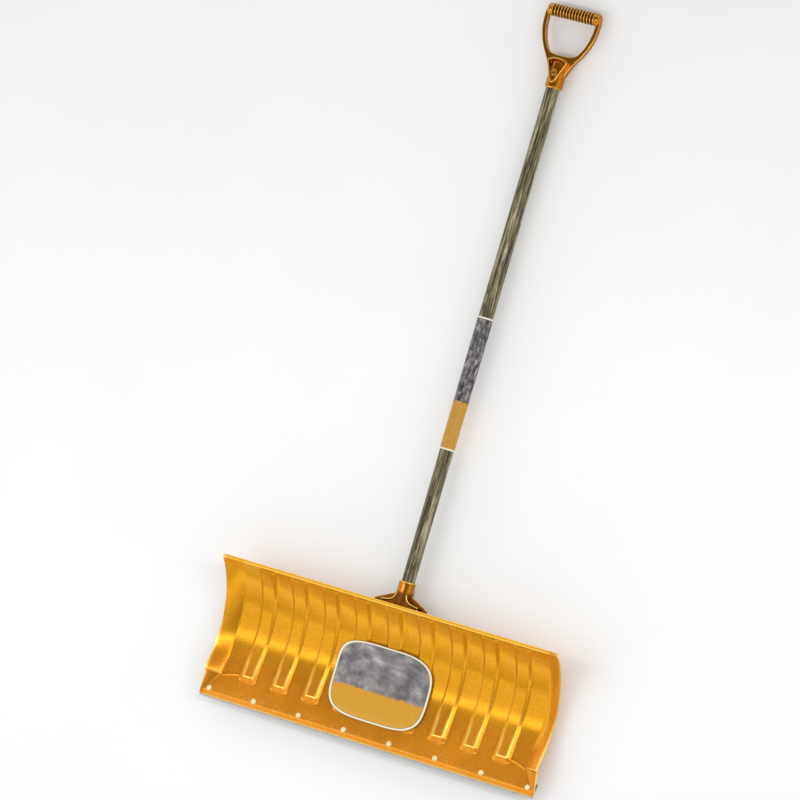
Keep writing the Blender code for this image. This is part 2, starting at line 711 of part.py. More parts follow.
def skirt_bead_mesh(side):
    """Rounded bead along one half of the skirt's upper edge."""
    route = [(side * x, SKIRT_FRONT, z - SKIRT_BEAD / 2) for x, z in skirt_edge()]
    return tube_mesh("skirt_bead_%d" % side, route, SKIRT_BEAD)


def rear_fin(side):
    """Upright fin from the collar's back down to the saddle."""
    loop = [(0.0, COLLAR_TOP - FIN_BELOW_MOUTH), (COLLAR_RADIUS * 0.93, COLLAR_TOP - FIN_BELOW_MOUTH),
            (FIN_REACH, FIN_BOTTOM + FIN_HEEL), (FIN_REACH, FIN_BOTTOM), (0.0, FIN_BOTTOM)]
    name = "rear_fin_%d" % side
    mesh = outline_mesh(name, [loop], BRACKET_WALL / 2, smooth_handles=False)
    mesh.transform(Matrix.Translation((side * FIN_SPACING, 0.0, 0.0))
                   @ Matrix.Rotation(math.radians(90), 4, "Z"))
    return place_shape(name, mesh)


def blade_envelope():
    """Everything in front of the blade's back, so that the bracket stays behind it."""
    half = SADDLE_HALF_WIDTH * 1.3
    mesh = cylinder_mesh("blade_envelope", CURL_RADIUS + SHEET + GAP, -half, half, segments=192)
    shape = place_shape("blade_envelope", mesh)
    shape.matrix_local = Matrix.Translation(CURL_CENTRE) @ Matrix.Rotation(math.radians(90), 4, "Y")
    return shape


def across_shaft(height, depth, to_front):
    """Frame whose Z axis points to the front or the back through the shaft's axis."""
    turn = 90.0 if to_front else -90.0
    sign = -1.0 if to_front else 1.0
    return Matrix.Translation((0.0, sign * depth, height)) @ Matrix.Rotation(math.radians(turn), 4, "X")


def screw_seat():
    """Flat boss on the collar's back under the socket screw's head."""
    mesh = cylinder_mesh("screw_seat", SCREW_HEAD + SCREW_SEAT_MARGIN, -COLLAR_WALL, 0.0, segments=24)
    seat = place_shape("screw_seat", mesh)
    seat.matrix_local = across_shaft(SOCKET_SCREW_HEIGHT, COLLAR_RADIUS + SCREW_SEAT_REACH, False)
    return seat


def shaft_hole(name, height, reach, to_front):
    """Pilot hole through a fitting's wall and into the wood."""
    bottom = -(reach - SHAFT_FOOT_RADIUS) - WOOD_BITE - HOLE_SPARE
    hole = place_shape(name, cylinder_mesh(name, SCREW_SHANK + GAP, bottom, reach / 3, segments=16))
    hole.matrix_local = across_shaft(height, reach, to_front)
    return hole


def socket_screw_hole(name):
    return shaft_hole(name, SOCKET_SCREW_HEIGHT, COLLAR_RADIUS + SCREW_SEAT_REACH, False)


def bracket_screw_hole(name, x, length):
    mesh = cylinder_mesh(name, SCREW_SHANK + GAP, -4 * BRACKET_WALL, SHEET, segments=16)
    hole = place_shape(name, mesh)
    hole.matrix_local = on_sheet(x, length, SHEET)
    return hole


def screw_points(head_radius, head_height, shank_radius, shank_length):
    """Pan head above local zero, shank with a short point below."""
    return [(0.0, head_height), (head_radius * 0.7, head_height), (head_radius, head_height * 0.45),
            (head_radius, 0.0), (shank_radius, 0.0), (shank_radius, -shank_length + shank_radius),
            (shank_radius * 0.3, -shank_length), (0.0, -shank_length)]


def add_bracket_screws():
    """Screws driven from behind, through the saddle into the bosses behind three flutes."""
    seat = SADDLE_BACK + GAP
    points = screw_points(SCREW_HEAD, SCREW_HEAD_HEIGHT, SCREW_SHANK, seat - SHEET + SCREW_BITE - GAP)
    mesh = profile_mesh("bracket_screw", points)
    for index, (x, length) in enumerate(BRACKET_SCREWS, start=1):
        screw = place_piece("bracket_screw_%d" % index, mesh, "screw_steel")
        add_turning(screw, 14)
        screw.matrix_local = on_sheet(x, length, seat) @ Matrix.Rotation(math.pi, 4, "X")


def shaft_radius(height):
    """Turned shaft with a slight belly."""
    belly = COLLAR_TOP + SHAFT_BELLY * SHAFT_VISIBLE
    if height < belly:
        return blend(SHAFT_FOOT_RADIUS, SHAFT_BELLY_RADIUS, ease(COLLAR_TOP, belly, height))
    return blend(SHAFT_BELLY_RADIUS, SHAFT_HEAD_RADIUS, ease(belly, FERRULE_MOUTH - SHAFT_STRAIGHT, height))


def shaft_heights(low, high, count):
    return [blend(low, high, index / count) for index in range(count + 1)]


def add_shaft():
    heights = shaft_heights(SHAFT_FOOT + SHAFT_CHAMFER, SHAFT_HEAD - SHAFT_CHAMFER, SHAFT_ROWS)
    points = [(0.0, SHAFT_HEAD), (SHAFT_HEAD_RADIUS - SHAFT_CHAMFER, SHAFT_HEAD)]
    points += [(shaft_radius(height), height) for height in reversed(heights)]
    points += [(SHAFT_FOOT_RADIUS - SHAFT_CHAMFER, SHAFT_FOOT), (0.0, SHAFT_FOOT)]
    shaft = place_piece("shaft", profile_mesh("shaft", points), "stained_wood")
    add_turning(shaft, 32)
    combine(shaft, socket_screw_hole("shaft_foot_hole"), "DIFFERENCE")
    combine(shaft, grip_screw_hole("shaft_head_hole"), "DIFFERENCE")


def add_socket_screw():
    seat = COLLAR_RADIUS + SCREW_SEAT_REACH + GAP
    reach = seat - SHAFT_FOOT_RADIUS + WOOD_BITE
    mesh = profile_mesh("socket_screw", screw_points(SCREW_HEAD, SCREW_HEAD_HEIGHT, SCREW_SHANK, reach))
    screw = place_piece("socket_screw", mesh, "screw_steel")
    add_turning(screw, 16)
    screw.matrix_local = across_shaft(SOCKET_SCREW_HEIGHT, seat, False)


def grip_screw_hole(name):
    return shaft_hole(name, FERRULE_MOUTH + RING_HEIGHT, RING_REACH, True)


def grip_outlines():
    """Outer outline of the D and its hand opening, as (x, z) above the ferrule's mouth."""
    shares = [(0.0, 0.072), (0.074, 0.156), (0.194, 0.240), (0.417, 0.359), (0.585, 0.429), (0.731, 0.507),
              (0.897, 0.619), (0.973, 0.719), (1.0, 0.808), (0.990, 0.892), (0.905, 0.958), (0.716, 0.982)]
    outer = [(blend(THROAT_HALF_WIDTH, GRIP_HALF_WIDTH, across), up * GRIP_HEIGHT) for across, up in shares]
    inner = [(0.0, ARCH_HEIGHT), (0.28 * GRIP_HALF_WIDTH, ARCH_HEIGHT + 0.0008),
             (0.48 * GRIP_HALF_WIDTH, ARCH_HEIGHT + 0.0045)]
    inner += [(x - LEG_WIDTH, z) for x, z in outer[5:10]]
    outer_loop = outer + [(-x, z) for x, z in reversed(outer)]
    inner_loop = inner + [(-x, z) for x, z in reversed(inner[1:])]
    return outer_loop, inner_loop


def shield_outline(inset):
    """Outline of the grip's throat: an arch over a V, drawn in by inset."""
    right = [(0.0, 0.010 + 1.6 * inset), (0.0068 - inset, 0.0160), (0.0105 - inset, 0.026),
             (0.0145 - inset, 0.036), (0.0218 - inset, 0.0545 - inset), (0.0130 - inset, 0.0597 - inset),
             (0.0, 0.0615 - inset)]
    return right + [(-x, z) for x, z in reversed(right[1:-1])]


def lifted(mesh):
    mesh.transform(Matrix.Translation((0.0, 0.0, FERRULE_MOUTH)))
    return mesh


def add_grip():
    """D-grip: flat legs and web, throat with raised rims, ferrule, and a ridged cross bar."""
    body = lifted(outline_mesh("grip", list(grip_outlines()), LEG_DEPTH))
    grip = place_piece("grip", body, "grip_moulding")
    rounding = grip.modifiers.new("edges", "BEVEL")
    rounding.width = LEG_EDGE
    rounding.segments = 2
    rounding.limit_method = "ANGLE"
    rounding.angle_limit = math.radians(50)
    combine(grip, place_shape("shield_rim", shield_rim_mesh()), "UNION")
    combine(grip, place_shape("ferrule_body", ferrule_mesh()), "UNION")
    combine(grip, screw_ring(), "UNION")
    combine(grip, cross_bar(), "UNION")
    bore = cylinder_mesh("grip_bore", SHAFT_HEAD_RADIUS + GAP, FERRULE_MOUTH - FERRULE_RADIUS,
                         FERRULE_MOUTH + GRIP_SOCKET_DEPTH, segments=32)
    combine(grip, place_shape("grip_bore", bore), "DIFFERENCE")
    combine(grip, grip_screw_hole("ring_hole"), "DIFFERENCE")
    combine(grip, head_recess(), "DIFFERENCE")


def shield_rim_mesh():
    """Raised rims round the throat, front and back, joined by the web."""
    loops = [shield_outline(0.0), shield_outline(SHIELD_WALL)]
    return lifted(outline_mesh("shield_rim", loops, SHIELD_DEPTH, smooth_handles=False))


def ferrule_mesh():
    top = FERRULE_LENGTH
    radius = FERRULE_RADIUS
    points = [(0.0, top), (radius * 0.5, top - 0.001), (radius * 0.82, top - 0.0042),
              (radius * 0.98, top - 0.0085), (radius, top - 0.013), (radius, 0.003),
              (radius - 0.0008, 0.0), (0.0, 0.0)]
    return lifted(turned_mesh("ferrule_body", points, 36))


def screw_ring():
    mesh = cylinder_mesh("screw_ring", RING_RADIUS, -RING_DEPTH, 0.0, segments=24)
    ring = place_shape("screw_ring", mesh)
    ring.matrix_local = across_shaft(FERRULE_MOUTH + RING_HEIGHT, RING_REACH, True)
    return ring


def head_recess():
    mesh = cylinder_mesh("head_recess", GRIP_SCREW_HEAD + GAP, -HEAD_RECESS, HEAD_RECESS, segments=16)
    recess = place_shape("head_recess", mesh)
    recess.matrix_local = across_shaft(FERRULE_MOUTH + RING_HEIGHT, RING_REACH, True)
    return recess


def add_grip_screw():
    seat = RING_REACH - HEAD_RECESS + GAP
    reach = seat - SHAFT_HEAD_RADIUS + WOOD_BITE
    points = screw_points(GRIP_SCREW_HEAD, GRIP_SCREW_HEAD_HEIGHT, SCREW_SHANK, reach)
    mesh = profile_mesh("grip_screw", points)
    screw = place_piece("grip_screw", mesh, "screw_steel")
    add_turning(screw, 16)
    screw.matrix_local = across_shaft(FERRULE_MOUTH + RING_HEIGHT, seat, True)


def cross_bar():
    """Hand bar with rounded ends and shallow ring grooves."""
    half = GRIP_HALF_WIDTH - BAR_INSET
    grooved = half - BAR_SMOOTH_END
    pitch = 2 * grooved / BAR_RIDGES
    points = [(0.0, half), (BAR_RADIUS * 0.55, half - 0.0006), (BAR_RADIUS * 0.86, half - 0.0030),
              (BAR_RADIUS, half - 0.0075)]
    for index in range(BAR_RIDGES):
        start = grooved - index * pitch
        points.append((BAR_RADIUS, start - 0.15 * pitch))
        points.append((BAR_RADIUS - BAR_GROOVE, start - 0.50 * pitch))
        points.append((BAR_RADIUS, start - 0.85 * pitch))
    points += [(radius, -height) for radius, height in reversed(points[:4])]
    mesh = turned_mesh("cross_bar", points, 20)
    bar = place_shape("cross_bar", mesh)
    turn = Matrix.Rotation(math.radians(90), 4, "Y")
    bar.matrix_local = Matrix.Translation((0.0, 0.0, BAR_HEIGHT)) @ turn
    return bar


def rounded_place(across, up):
    """Draw a point of the square from -1 to 1 in to the label's rounded outline."""
    reach = max(abs(across), abs(up))
    if reach == 0.0:
        return 0.0, 0.0
    power = LABEL_SQUARENESS
    pull = ((abs(across) / reach) ** power + (abs(up) / reach) ** power) ** (-1.0 / power)
    return across * pull, up * pull


def add_blade_label():
    """Thin printed badge lying over the crests of the middle flutes."""
    middle = (LABEL_LOW + LABEL_HIGH) / 2
    half = (LABEL_HIGH - LABEL_LOW) / 2
    shares = [2.0 * index / LABEL_GRID - 1.0 for index in range(LABEL_GRID + 1)]
    rows = []
    for up in shares:
        row = []
        for across in shares:
            x, rise = rounded_place(across, up)
            length = middle + half * rise
            lift = rib_rise(max(length, RIB_START + RIB_END_WALL)) + LABEL_LIFT
            place = sheet_point(length) + lift * sheet_normal(length)
            shift = LABEL_SHIFT + LABEL_LEAN * half * rise
            row.append(Vector((x * LABEL_HALF_WIDTH + shift, place.y, place.z)))
        rows.append(row)
    mesh = skin_rows("blade_label", rows)
    smooth(mesh)
    label = place_piece("blade_label", mesh, "printed_paper")
    add_thickness(label, LABEL_THICKNESS).offset = 1.0


def add_shaft_label():
    """Printed sleeve wrapped round the shaft."""
    low = COLLAR_TOP + SLEEVE_LOW
    heights = shaft_heights(low, low + SLEEVE_LENGTH, 3)
    outer = [(shaft_radius(height) + GAP + SLEEVE_WALL, height) for height in reversed(heights)]
    inner = [(shaft_radius(height) + GAP, height) for height in heights]
    mesh = profile_mesh("shaft_label", outer + inner, closed=True)
    sleeve = place_piece("shaft_label", mesh, "printed_paper")
    add_turning(sleeve, 32)


# ---------------------------------------------------------------- resting pose
def rest_turn():
    """Angle about X that lays the blade's curl and the grip's bar on one level surface."""
    rise = BAR_HEIGHT - CURL_CENTRE.z
    span = math.hypot(rise, CURL_CENTRE.y)
    between = math.atan2(-CURL_CENTRE.y, rise)
    tangent = math.asin((CURL_RADIUS + SHEET - BAR_RADIUS) / span)
    return -math.pi / 2 + between - tangent


def lay_down():
    """Turn the tool face up, and put the origin under the middle of its box."""
    TOOL.rotation_euler = (rest_turn(), 0.0, 0.0)
    bpy.context.view_layer.update()
    graph = bpy.context.evaluated_depsgraph_get()
    corners = []
    for piece in PIECES.objects:
        solid = piece.evaluated_get(graph)
        mesh = solid.to_mesh()
        corners += [solid.matrix_world @ vertex.co for vertex in mesh.vertices]
        solid.to_mesh_clear()
    low = [min(corner[axis] for corner in corners) for axis in range(3)]
    high = [max(corner[axis] for corner in corners) for axis in range(3)]
    TOOL.location = (-(low[0] + high[0]) / 2, -(low[1] + high[1]) / 2, -low[2])
    bpy.context.view_layer.update()


clear_scene()
PIECES = add_collection("snow_pusher")
SHAPES = add_collection("cutters")
MATERIALS = add_materials()
TOOL = bpy.data.objects.new("tool_frame", None)
bpy.context.scene.collection.objects.link(TOOL)

add_blade()
add_wear_strip()
add_rivets()
add_bracket()
add_bracket_screws()
add_shaft()
add_socket_screw()
add_grip()
add_grip_screw()
add_blade_label()
add_shaft_label()
lay_down()
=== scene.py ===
"""Looks of the snow pusher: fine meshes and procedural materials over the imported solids.

Shapes are drawn in the tool's own frame, as in part.py: X across the blade, Y towards its
back and Z up along the shaft's axis, with Z = 0 at the moulded toe.  TOOL takes them to
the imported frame, where the tool lies on its back, face up.  All sizes are in metres.
"""
import math

import bmesh
import bpy
import numpy as np
from mathutils import Matrix, Vector


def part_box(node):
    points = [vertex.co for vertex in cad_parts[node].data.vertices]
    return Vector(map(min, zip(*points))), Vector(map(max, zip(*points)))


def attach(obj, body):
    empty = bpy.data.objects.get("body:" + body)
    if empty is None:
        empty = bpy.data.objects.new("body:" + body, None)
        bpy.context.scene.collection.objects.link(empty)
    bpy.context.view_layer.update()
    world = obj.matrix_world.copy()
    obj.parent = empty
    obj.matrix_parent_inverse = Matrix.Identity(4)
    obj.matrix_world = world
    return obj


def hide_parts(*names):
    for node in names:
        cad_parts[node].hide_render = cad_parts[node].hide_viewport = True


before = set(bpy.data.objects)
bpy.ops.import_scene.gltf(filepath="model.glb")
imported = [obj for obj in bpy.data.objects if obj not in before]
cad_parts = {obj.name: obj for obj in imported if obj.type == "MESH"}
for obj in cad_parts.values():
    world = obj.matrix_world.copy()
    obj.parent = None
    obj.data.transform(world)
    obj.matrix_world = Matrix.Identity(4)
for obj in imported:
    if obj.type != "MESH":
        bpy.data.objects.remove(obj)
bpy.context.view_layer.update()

# -------------------- sizes, as in part.py
GAP = 0.0003
BLADE_WIDTH = 0.762
SHEET = 0.0035
TOE_SETBACK = 0.0122
APRON_LENGTH = 0.118
APRON_LEAN = math.radians(10.3)
CURL_RADIUS = 0.160
CURL_SWEEP = math.radians(65.3)
LIP_BEND = 0.002
LIP_FLANGE = 0.005
TOE_CHAMFER_HEIGHT = 0.009
TOE_CHAMFER_DEPTH = 0.002

RIB_COUNT = 9
RIB_END = 0.0918
RIB_START = 0.046
RIB_END_WALL = 0.0125
RIB_MID = 0.150
RIB_CREST_LOW = 0.0106
RIB_CREST_MID = 0.0120
RIB_WALL_LOW = 0.0098
RIB_WALL_MID = 0.0048
RIB_WALL_TOP = 0.0068
RIB_RISE_LOW = 0.0032
RIB_RISE_MID = 0.0042
RIB_RISE_TOP = 0.0075

WING_WIDTH = 0.035
WING_TUCK = 0.003
WING_FLARE_TOP = 0.0285
WING_FLARE_MID = 0.0175
WING_FLARE_FOOT = 0.0215
WING_FLARE_CORNER = 0.0145
WING_LEDGE = 0.050
WING_MID = 0.110
WING_SETTLE = 0.150
WING_BULGE_LOW = 0.6
WING_BULGE_TOP = 1.45
CREASE_FOOT = 0.004
WING_TOP_EARLY = 0.02            # the upper flare starts this far below the wing's middle
WING_TOP_SHORT = 0.01            # and is complete this far below the lip

STRIP_HEIGHT = 0.030
STRIP_THICKNESS = 0.0012
STRIP_OVERHANG = 0.003
STRIP_SHORT = 0.001
RIVET_COUNT = 8
RIVET_END = 0.0177
RIVET_HEIGHT = 0.0155
RIVET_SHANK = 0.0024
RIVET_HEAD = 0.0056
RIVET_DOME = 0.0026
RIVET_TAIL = 0.0042
RIVET_TAIL_HEIGHT = 0.0012
CREASE_START = RIVET_HEIGHT * 0.4

SHAFT_FOOT_RADIUS = 0.0133
SHAFT_BELLY_RADIUS = 0.0150
SHAFT_HEAD_RADIUS = 0.0142
SHAFT_BELLY = 0.52
SHAFT_STRAIGHT = 0.020
SHAFT_VISIBLE = 1.018
SHAFT_CHAMFER = 0.001
COLLAR_ABOVE_LIP = 0.0562
GRIP_SOCKET_DEPTH = 0.050
GRIP_HEIGHT = 0.167
GRIP_HALF_WIDTH = 0.0605
BAR_RADIUS = 0.0133
BAR_INSET = 0.0015
BAR_RIDGES = 15
BAR_SMOOTH_END = 0.010

SCREW_SHANK = 0.0020
SCREW_HEAD = 0.0042
SCREW_HEAD_HEIGHT = 0.0024
GRIP_SCREW_HEAD = 0.0026
GRIP_SCREW_HEAD_HEIGHT = 0.0014

LABEL_LIFT = 0.0012
LABEL_THICKNESS = 0.0006
LABEL_HALF_WIDTH = 0.1085
LABEL_LOW = 0.0422
LABEL_HIGH = 0.2012
LABEL_SHIFT = -0.007
LABEL_LEAN = -0.060
LABEL_SQUARENESS = 3.8
SLEEVE_LOW = 0.272
SLEEVE_LENGTH = 0.273
SLEEVE_WALL = 0.0004

# -------------------- sizes of the fine surface
MERGE = 0.00001                  # points nearer than this are one
RIB_STOP = 0.0025                # a flute's upper end below the lip, nearer to it than in part.py
RIB_FADE = 0.002
RIB_ROUND = 0.0011               # rounding of a flute's edges
BACK_INSET = 0.0012              # a flute's hollow is narrower than its crest by this much
EDGE_ROW = 0.0004                # a row this close to an edge keeps the edge crisp
RAMP_MARGIN = 0.002              # rows of a flute's sloping end run past it by this much
LEDGE_STEP = 0.0022              # half the height of the rounded step at the wing's ledge
WING_SHARES = (0.0, 0.03, 0.08, 0.16, 0.27, 0.40, 0.54, 0.68, 0.82, 0.93, 1.0)
SHOULDER_COLUMNS = 9
EDGE_BREAK = 0.0002              # broken edge under a rivet's or a screw's head
DIMPLE_DEPTH = 0.0004            # in the middle of a rivet's dome
DIMPLE_RADIUS = 0.0008
RECESS_SHARE = 0.62              # reach of a screw's cross recess, as a share of its head
STRIP_ROUND = 0.0003
STRIP_CUTS = 60
GRAIN_RELIEF = 0.00018
MARKS_FADE = 0.085               # length up the sheet where the painted highlight and the painted shadow round the flutes' outline fade
MARKS_END = 0.114
MARK_WIDTH = 0.0014
LABEL_SAG = 0.0009               # of the badge between two flutes
LABEL_DROP = 0.75                # share of a crest that its lower edge comes down
LABEL_DROP_MARGIN = 0.004
BAR_REACH = 1.06                 # points this close to the bar's axis, in its radii, are the bar's
BAR_REACH_TOP = 1.3              # and this close on its top, where no leg is near
RIDGE_DEPTH = 0.0022             # hollows between the hand bar's ridges, deeper than in part.py
BACKWARD = (0.0, 1.0, 0.0)
FORWARD = (0.0, -1.0, 0.0)
SCREWS = [("bracket_screw_%d" % index, BACKWARD, SCREW_HEAD, SCREW_HEAD_HEIGHT) for index in range(1, 6)]
SCREWS += [("socket_screw", BACKWARD, SCREW_HEAD, SCREW_HEAD_HEIGHT),
           ("grip_screw", FORWARD, GRIP_SCREW_HEAD, GRIP_SCREW_HEAD_HEIGHT)]
LABEL_GRID = 56
SEAM_HEIGHT = 0.0004             # faint crease across the apron, from the corner to the first flute
SEAM_WIDTH = 0.0012
SEAM_DROP = 0.002                # its end below the wing's ledge
SEAM_ARCH = 0.010

SHEET_LENGTH = APRON_LENGTH + CURL_RADIUS * CURL_SWEEP
APRON_RISE = Vector((0.0, math.sin(APRON_LEAN), math.cos(APRON_LEAN)))
TOE = Vector((0.0, TOE_SETBACK, 0.0))
CURL_CENTRE = (TOE + APRON_LENGTH * APRON_RISE
               - CURL_RADIUS * Vector((0.0, math.cos(APRON_LEAN), -math.sin(APRON_LEAN))))
LIP_HEIGHT = CURL_CENTRE.z + CURL_RADIUS * math.sin(CURL_SWEEP - APRON_LEAN)
RIB_PITCH = (BLADE_WIDTH - 2 * RIB_END) / (RIB_COUNT - 1)
RIB_CENTRES = [(index - (RIB_COUNT - 1) / 2) * RIB_PITCH for index in range(RIB_COUNT)]
RIVET_PITCH = (BLADE_WIDTH - 2 * RIVET_END) / (RIVET_COUNT - 1)
RIVET_PLACES = [(index - (RIVET_COUNT - 1) / 2) * RIVET_PITCH for index in range(RIVET_COUNT)]
COLLAR_TOP = LIP_HEIGHT + COLLAR_ABOVE_LIP
FERRULE_MOUTH = COLLAR_TOP + SHAFT_VISIBLE
BAR_HEIGHT = FERRULE_MOUTH + GRIP_HEIGHT - BAR_RADIUS

# -------------------- studio
VIEW_YAW = 25.40                 # degrees, round the tool's axis
VIEW_RISE = -1.30
VIEW_ROLL = 16.39
VIEW_DISTANCE = 10.795
VIEW_LENS = 245.5
VIEW_AIM = Vector((0.0, 0.0, 0.76))
VIEW_ASIDE = -0.117
VIEW_ABOVE = -0.087
FLOOR_HALF = 20.0
FLOOR_FLAT = 6.0
FLOOR_SWEEP = 0.01
SKY_LOW = (2.15, 2.15, 2.15, 1.0)
SKY_HIGH = (0.22, 0.22, 0.22, 1.0)
SOFTBOXES = (                    # name, place, aim, direction of its length, width, length, power
    ("top_softbox", (-1.35, -1.66, 2.5), (-1.35, -1.66, 0.0), (0.0, 1.0, 0.0), 2.6, 2.2, 19.0),
    ("band_strip", (-1.35, -0.34, 2.5), (-1.35, -0.34, 0.0), (0.0, 1.0, 0.0), 2.6, 0.44, 12.0),
    ("side_strip", (1.25, 0.12, 2.0), (0.0, -0.65, 0.0), (-0.9, 0.0, 0.43), 0.4, 2.6, 17.0),
)
BRACKET_VOXEL = 0.0009
GRIP_VOXEL = 0.0006


# -------------------- small helpers
def ease(low, high, amount):
    """Smooth step from 0 at low to 1 at high."""
    share = min(1.0, max(0.0, (amount - low) / (high - low)))
    return share * share * (3.0 - 2.0 * share)


def blend(first, second, share):
    return first + (second - first) * share


def sheet_angle(length):
    if length <= APRON_LENGTH:
        return -APRON_LEAN
    return -APRON_LEAN + (length - APRON_LENGTH) / CURL_RADIUS


def sheet_normal(length):
    """Unit normal of the blade's face, towards the front."""
    angle = sheet_angle(length)
    return Vector((0.0, -math.cos(angle), -math.sin(angle)))


def sheet_point(length):
    """Point on the blade's face profile, at X = 0."""
    if length <= APRON_LENGTH:
        return TOE + length * APRON_RISE
    return CURL_CENTRE - CURL_RADIUS * sheet_normal(length)


def on_sheet(x, length, depth):
    """Frame on the blade: local Z points to the front, origin behind the face by depth."""
    normal = sheet_normal(length)
    across = Vector((1.0, 0.0, 0.0))
    up = normal.cross(across)
    place = sheet_point(length) - depth * normal
    turn = Matrix((across, up, normal)).transposed().to_4x4()
    return Matrix.Translation((x, place.y, place.z)) @ turn


def find_tool():
    """Where the tool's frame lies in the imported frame.

    Its turn follows from the sizes and its place from the wear strip's box.
    """
    rise = BAR_HEIGHT - CURL_CENTRE.z
    span = math.hypot(rise, CURL_CENTRE.y)
    tangent = math.asin((CURL_RADIUS + SHEET - BAR_RADIUS) / span)
    turn = Matrix.Rotation(-math.pi / 2 + math.atan2(-CURL_CENTRE.y, rise) - tangent, 4, "X")
    half = BLADE_WIDTH / 2 - STRIP_SHORT
    corners = [on_sheet(0.0, 0.0, SHEET + GAP) @ Vector((x, y, z))
               for x in (-half, half)
               for y in (-STRIP_OVERHANG, STRIP_HEIGHT - STRIP_OVERHANG)
               for z in (-STRIP_THICKNESS, 0.0)]
    turned = [turn @ corner for corner in corners]
    low = Vector([min(corner[axis] for corner in turned) for axis in range(3)])
    return Matrix.Translation(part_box("wear_strip")[0] - low) @ turn


TOOL = find_tool()


def show(thing):
    bpy.context.scene.collection.objects.link(thing)


def finish_piece(name, mesh, material, node):
    """Move a mesh from the tool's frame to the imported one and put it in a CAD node's place."""
    mesh.transform(TOOL)
    mesh.update()
    piece = bpy.data.objects.new(name, mesh)
    show(piece)
    mesh.materials.clear()
    mesh.materials.append(material)
    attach(piece, "root")
    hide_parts(node)
    return piece


def smooth(mesh, angle=40.0):
    mesh.shade_smooth()
    mesh.set_sharp_from_angle(angle=math.radians(angle))


def as_mesh(name, form):
    mesh = bpy.data.meshes.new(name)
    form.to_mesh(mesh)
    form.free()
    return mesh


def merge_points(mesh, outward=False):
    """Join the points that coincide, and turn the faces outwards where that is asked for."""
    form = bmesh.new()
    form.from_mesh(mesh)
    bmesh.ops.remove_doubles(form, verts=form.verts, dist=MERGE)
    if outward:
        bmesh.ops.recalc_face_normals(form, faces=form.faces)
    form.to_mesh(mesh)
    form.free()


def grid_solid(name, front, back):
    """A closed wall from two grids of points, one in front of the other."""
    wall = bmesh.new()
    faces = [[[wall.verts.new(point) for point in row] for row in grid] for grid in (front, back)]
    for grid, flip in zip(faces, (False, True)):
        for lower, upper in zip(grid, grid[1:]):
            for index in range(len(lower) - 1):
                corners = (lower[index], lower[index + 1], upper[index + 1], upper[index])
                wall.faces.new(reversed(corners) if flip else corners)
    ahead, behind = faces
    for rows in ((ahead[0], behind[0]), (behind[-1], ahead[-1])):
        for index in range(len(rows[0]) - 1):
            wall.faces.new((rows[1][index], rows[1][index + 1], rows[0][index + 1], rows[0][index]))
    for column, flip in ((0, False), (-1, True)):
        for index in range(len(ahead) - 1):
            corners = (behind[index][column], ahead[index][column],
                       ahead[index + 1][column], behind[index + 1][column])
            wall.faces.new(reversed(corners) if flip else corners)
    return as_mesh(name, wall)


def turned(name, points, steps, closed=False):
    """A profile of (radius, height) points turned about Z."""
    line = bmesh.new()
    ring = [line.verts.new((radius, 0.0, height)) for radius, height in points]
    for first, second in zip(ring, ring[1:]):
        line.edges.new((first, second))
    if closed:
        line.edges.new((ring[-1], ring[0]))
    bmesh.ops.spin(line, geom=line.verts[:] + line.edges[:], axis=(0, 0, 1), cent=(0, 0, 0),
                   angle=math.tau, steps=steps, use_merge=True, use_normal_flip=False)
    bmesh.ops.remove_doubles(line, verts=line.verts, dist=MERGE / 2)
    bmesh.ops.recalc_face_normals(line, faces=line.faces)
    return as_mesh(name, line)


def tag_amounts(mesh, name, amounts):
    """Store an amount per point for its material, the strength of a painted highlight or of a painted
    shade.
    """
    layer = mesh.attributes.new(name, "FLOAT", "POINT")
    layer.data.foreach_set("value", amounts)


# -------------------- the blade's form
def along_rib(length, low, middle, top):
    """Value at a length up a flute, between those at its foot, middle and head."""
    foot = RIB_START + RIB_END_WALL
    head = SHEET_LENGTH - RIB_STOP - RIB_FADE
    if length < RIB_MID:
        return blend(low, middle, ease(foot, RIB_MID, length))
    return blend(middle, top, ease(RIB_MID, head, length))


def rib_widths(length):
    """Half width of a flute's crest, and the run of its side walls."""
    crest = along_rib(length, RIB_CREST_LOW, RIB_CREST_MID, RIB_CREST_MID)
    return crest, along_rib(length, RIB_WALL_LOW, RIB_WALL_MID, RIB_WALL_TOP)


def soft_clamp(share, round_share):
    """Hold a share between 0 and 1, with both corners rounded."""
    if share <= -round_share:
        return 0.0
    if share >= 1.0 + round_share:
        return 1.0
    if share < round_share:
        return (share + round_share) ** 2 / (4.0 * round_share)
    if share > 1.0 - round_share:
        return 1.0 - (1.0 + round_share - share) ** 2 / (4.0 * round_share)
    return share


def rib_height(offset, length, inset):
    """Height of the face at an offset from a flute's centre line."""
    crest, wall = rib_widths(length)
    aside = max(0.0, abs(offset) - (crest - inset)) / wall
    below = max(0.0, RIB_START + RIB_END_WALL + inset - length) / RIB_END_WALL
    share = soft_clamp(1.0 - math.hypot(aside, below), RIB_ROUND / wall)
    head = SHEET_LENGTH - RIB_STOP
    height = along_rib(length, RIB_RISE_LOW, RIB_RISE_MID, RIB_RISE_TOP)
    return height * share * (1.0 - ease(head - RIB_FADE, head, length))


def wing_crease(length):
    """Distance of the wing's crease from the end, running in to the toe's corner."""
    share = min(1.0, max(0.0, (length - CREASE_START) / (WING_LEDGE - CREASE_START)))
    return blend(CREASE_FOOT, WING_WIDTH, share)


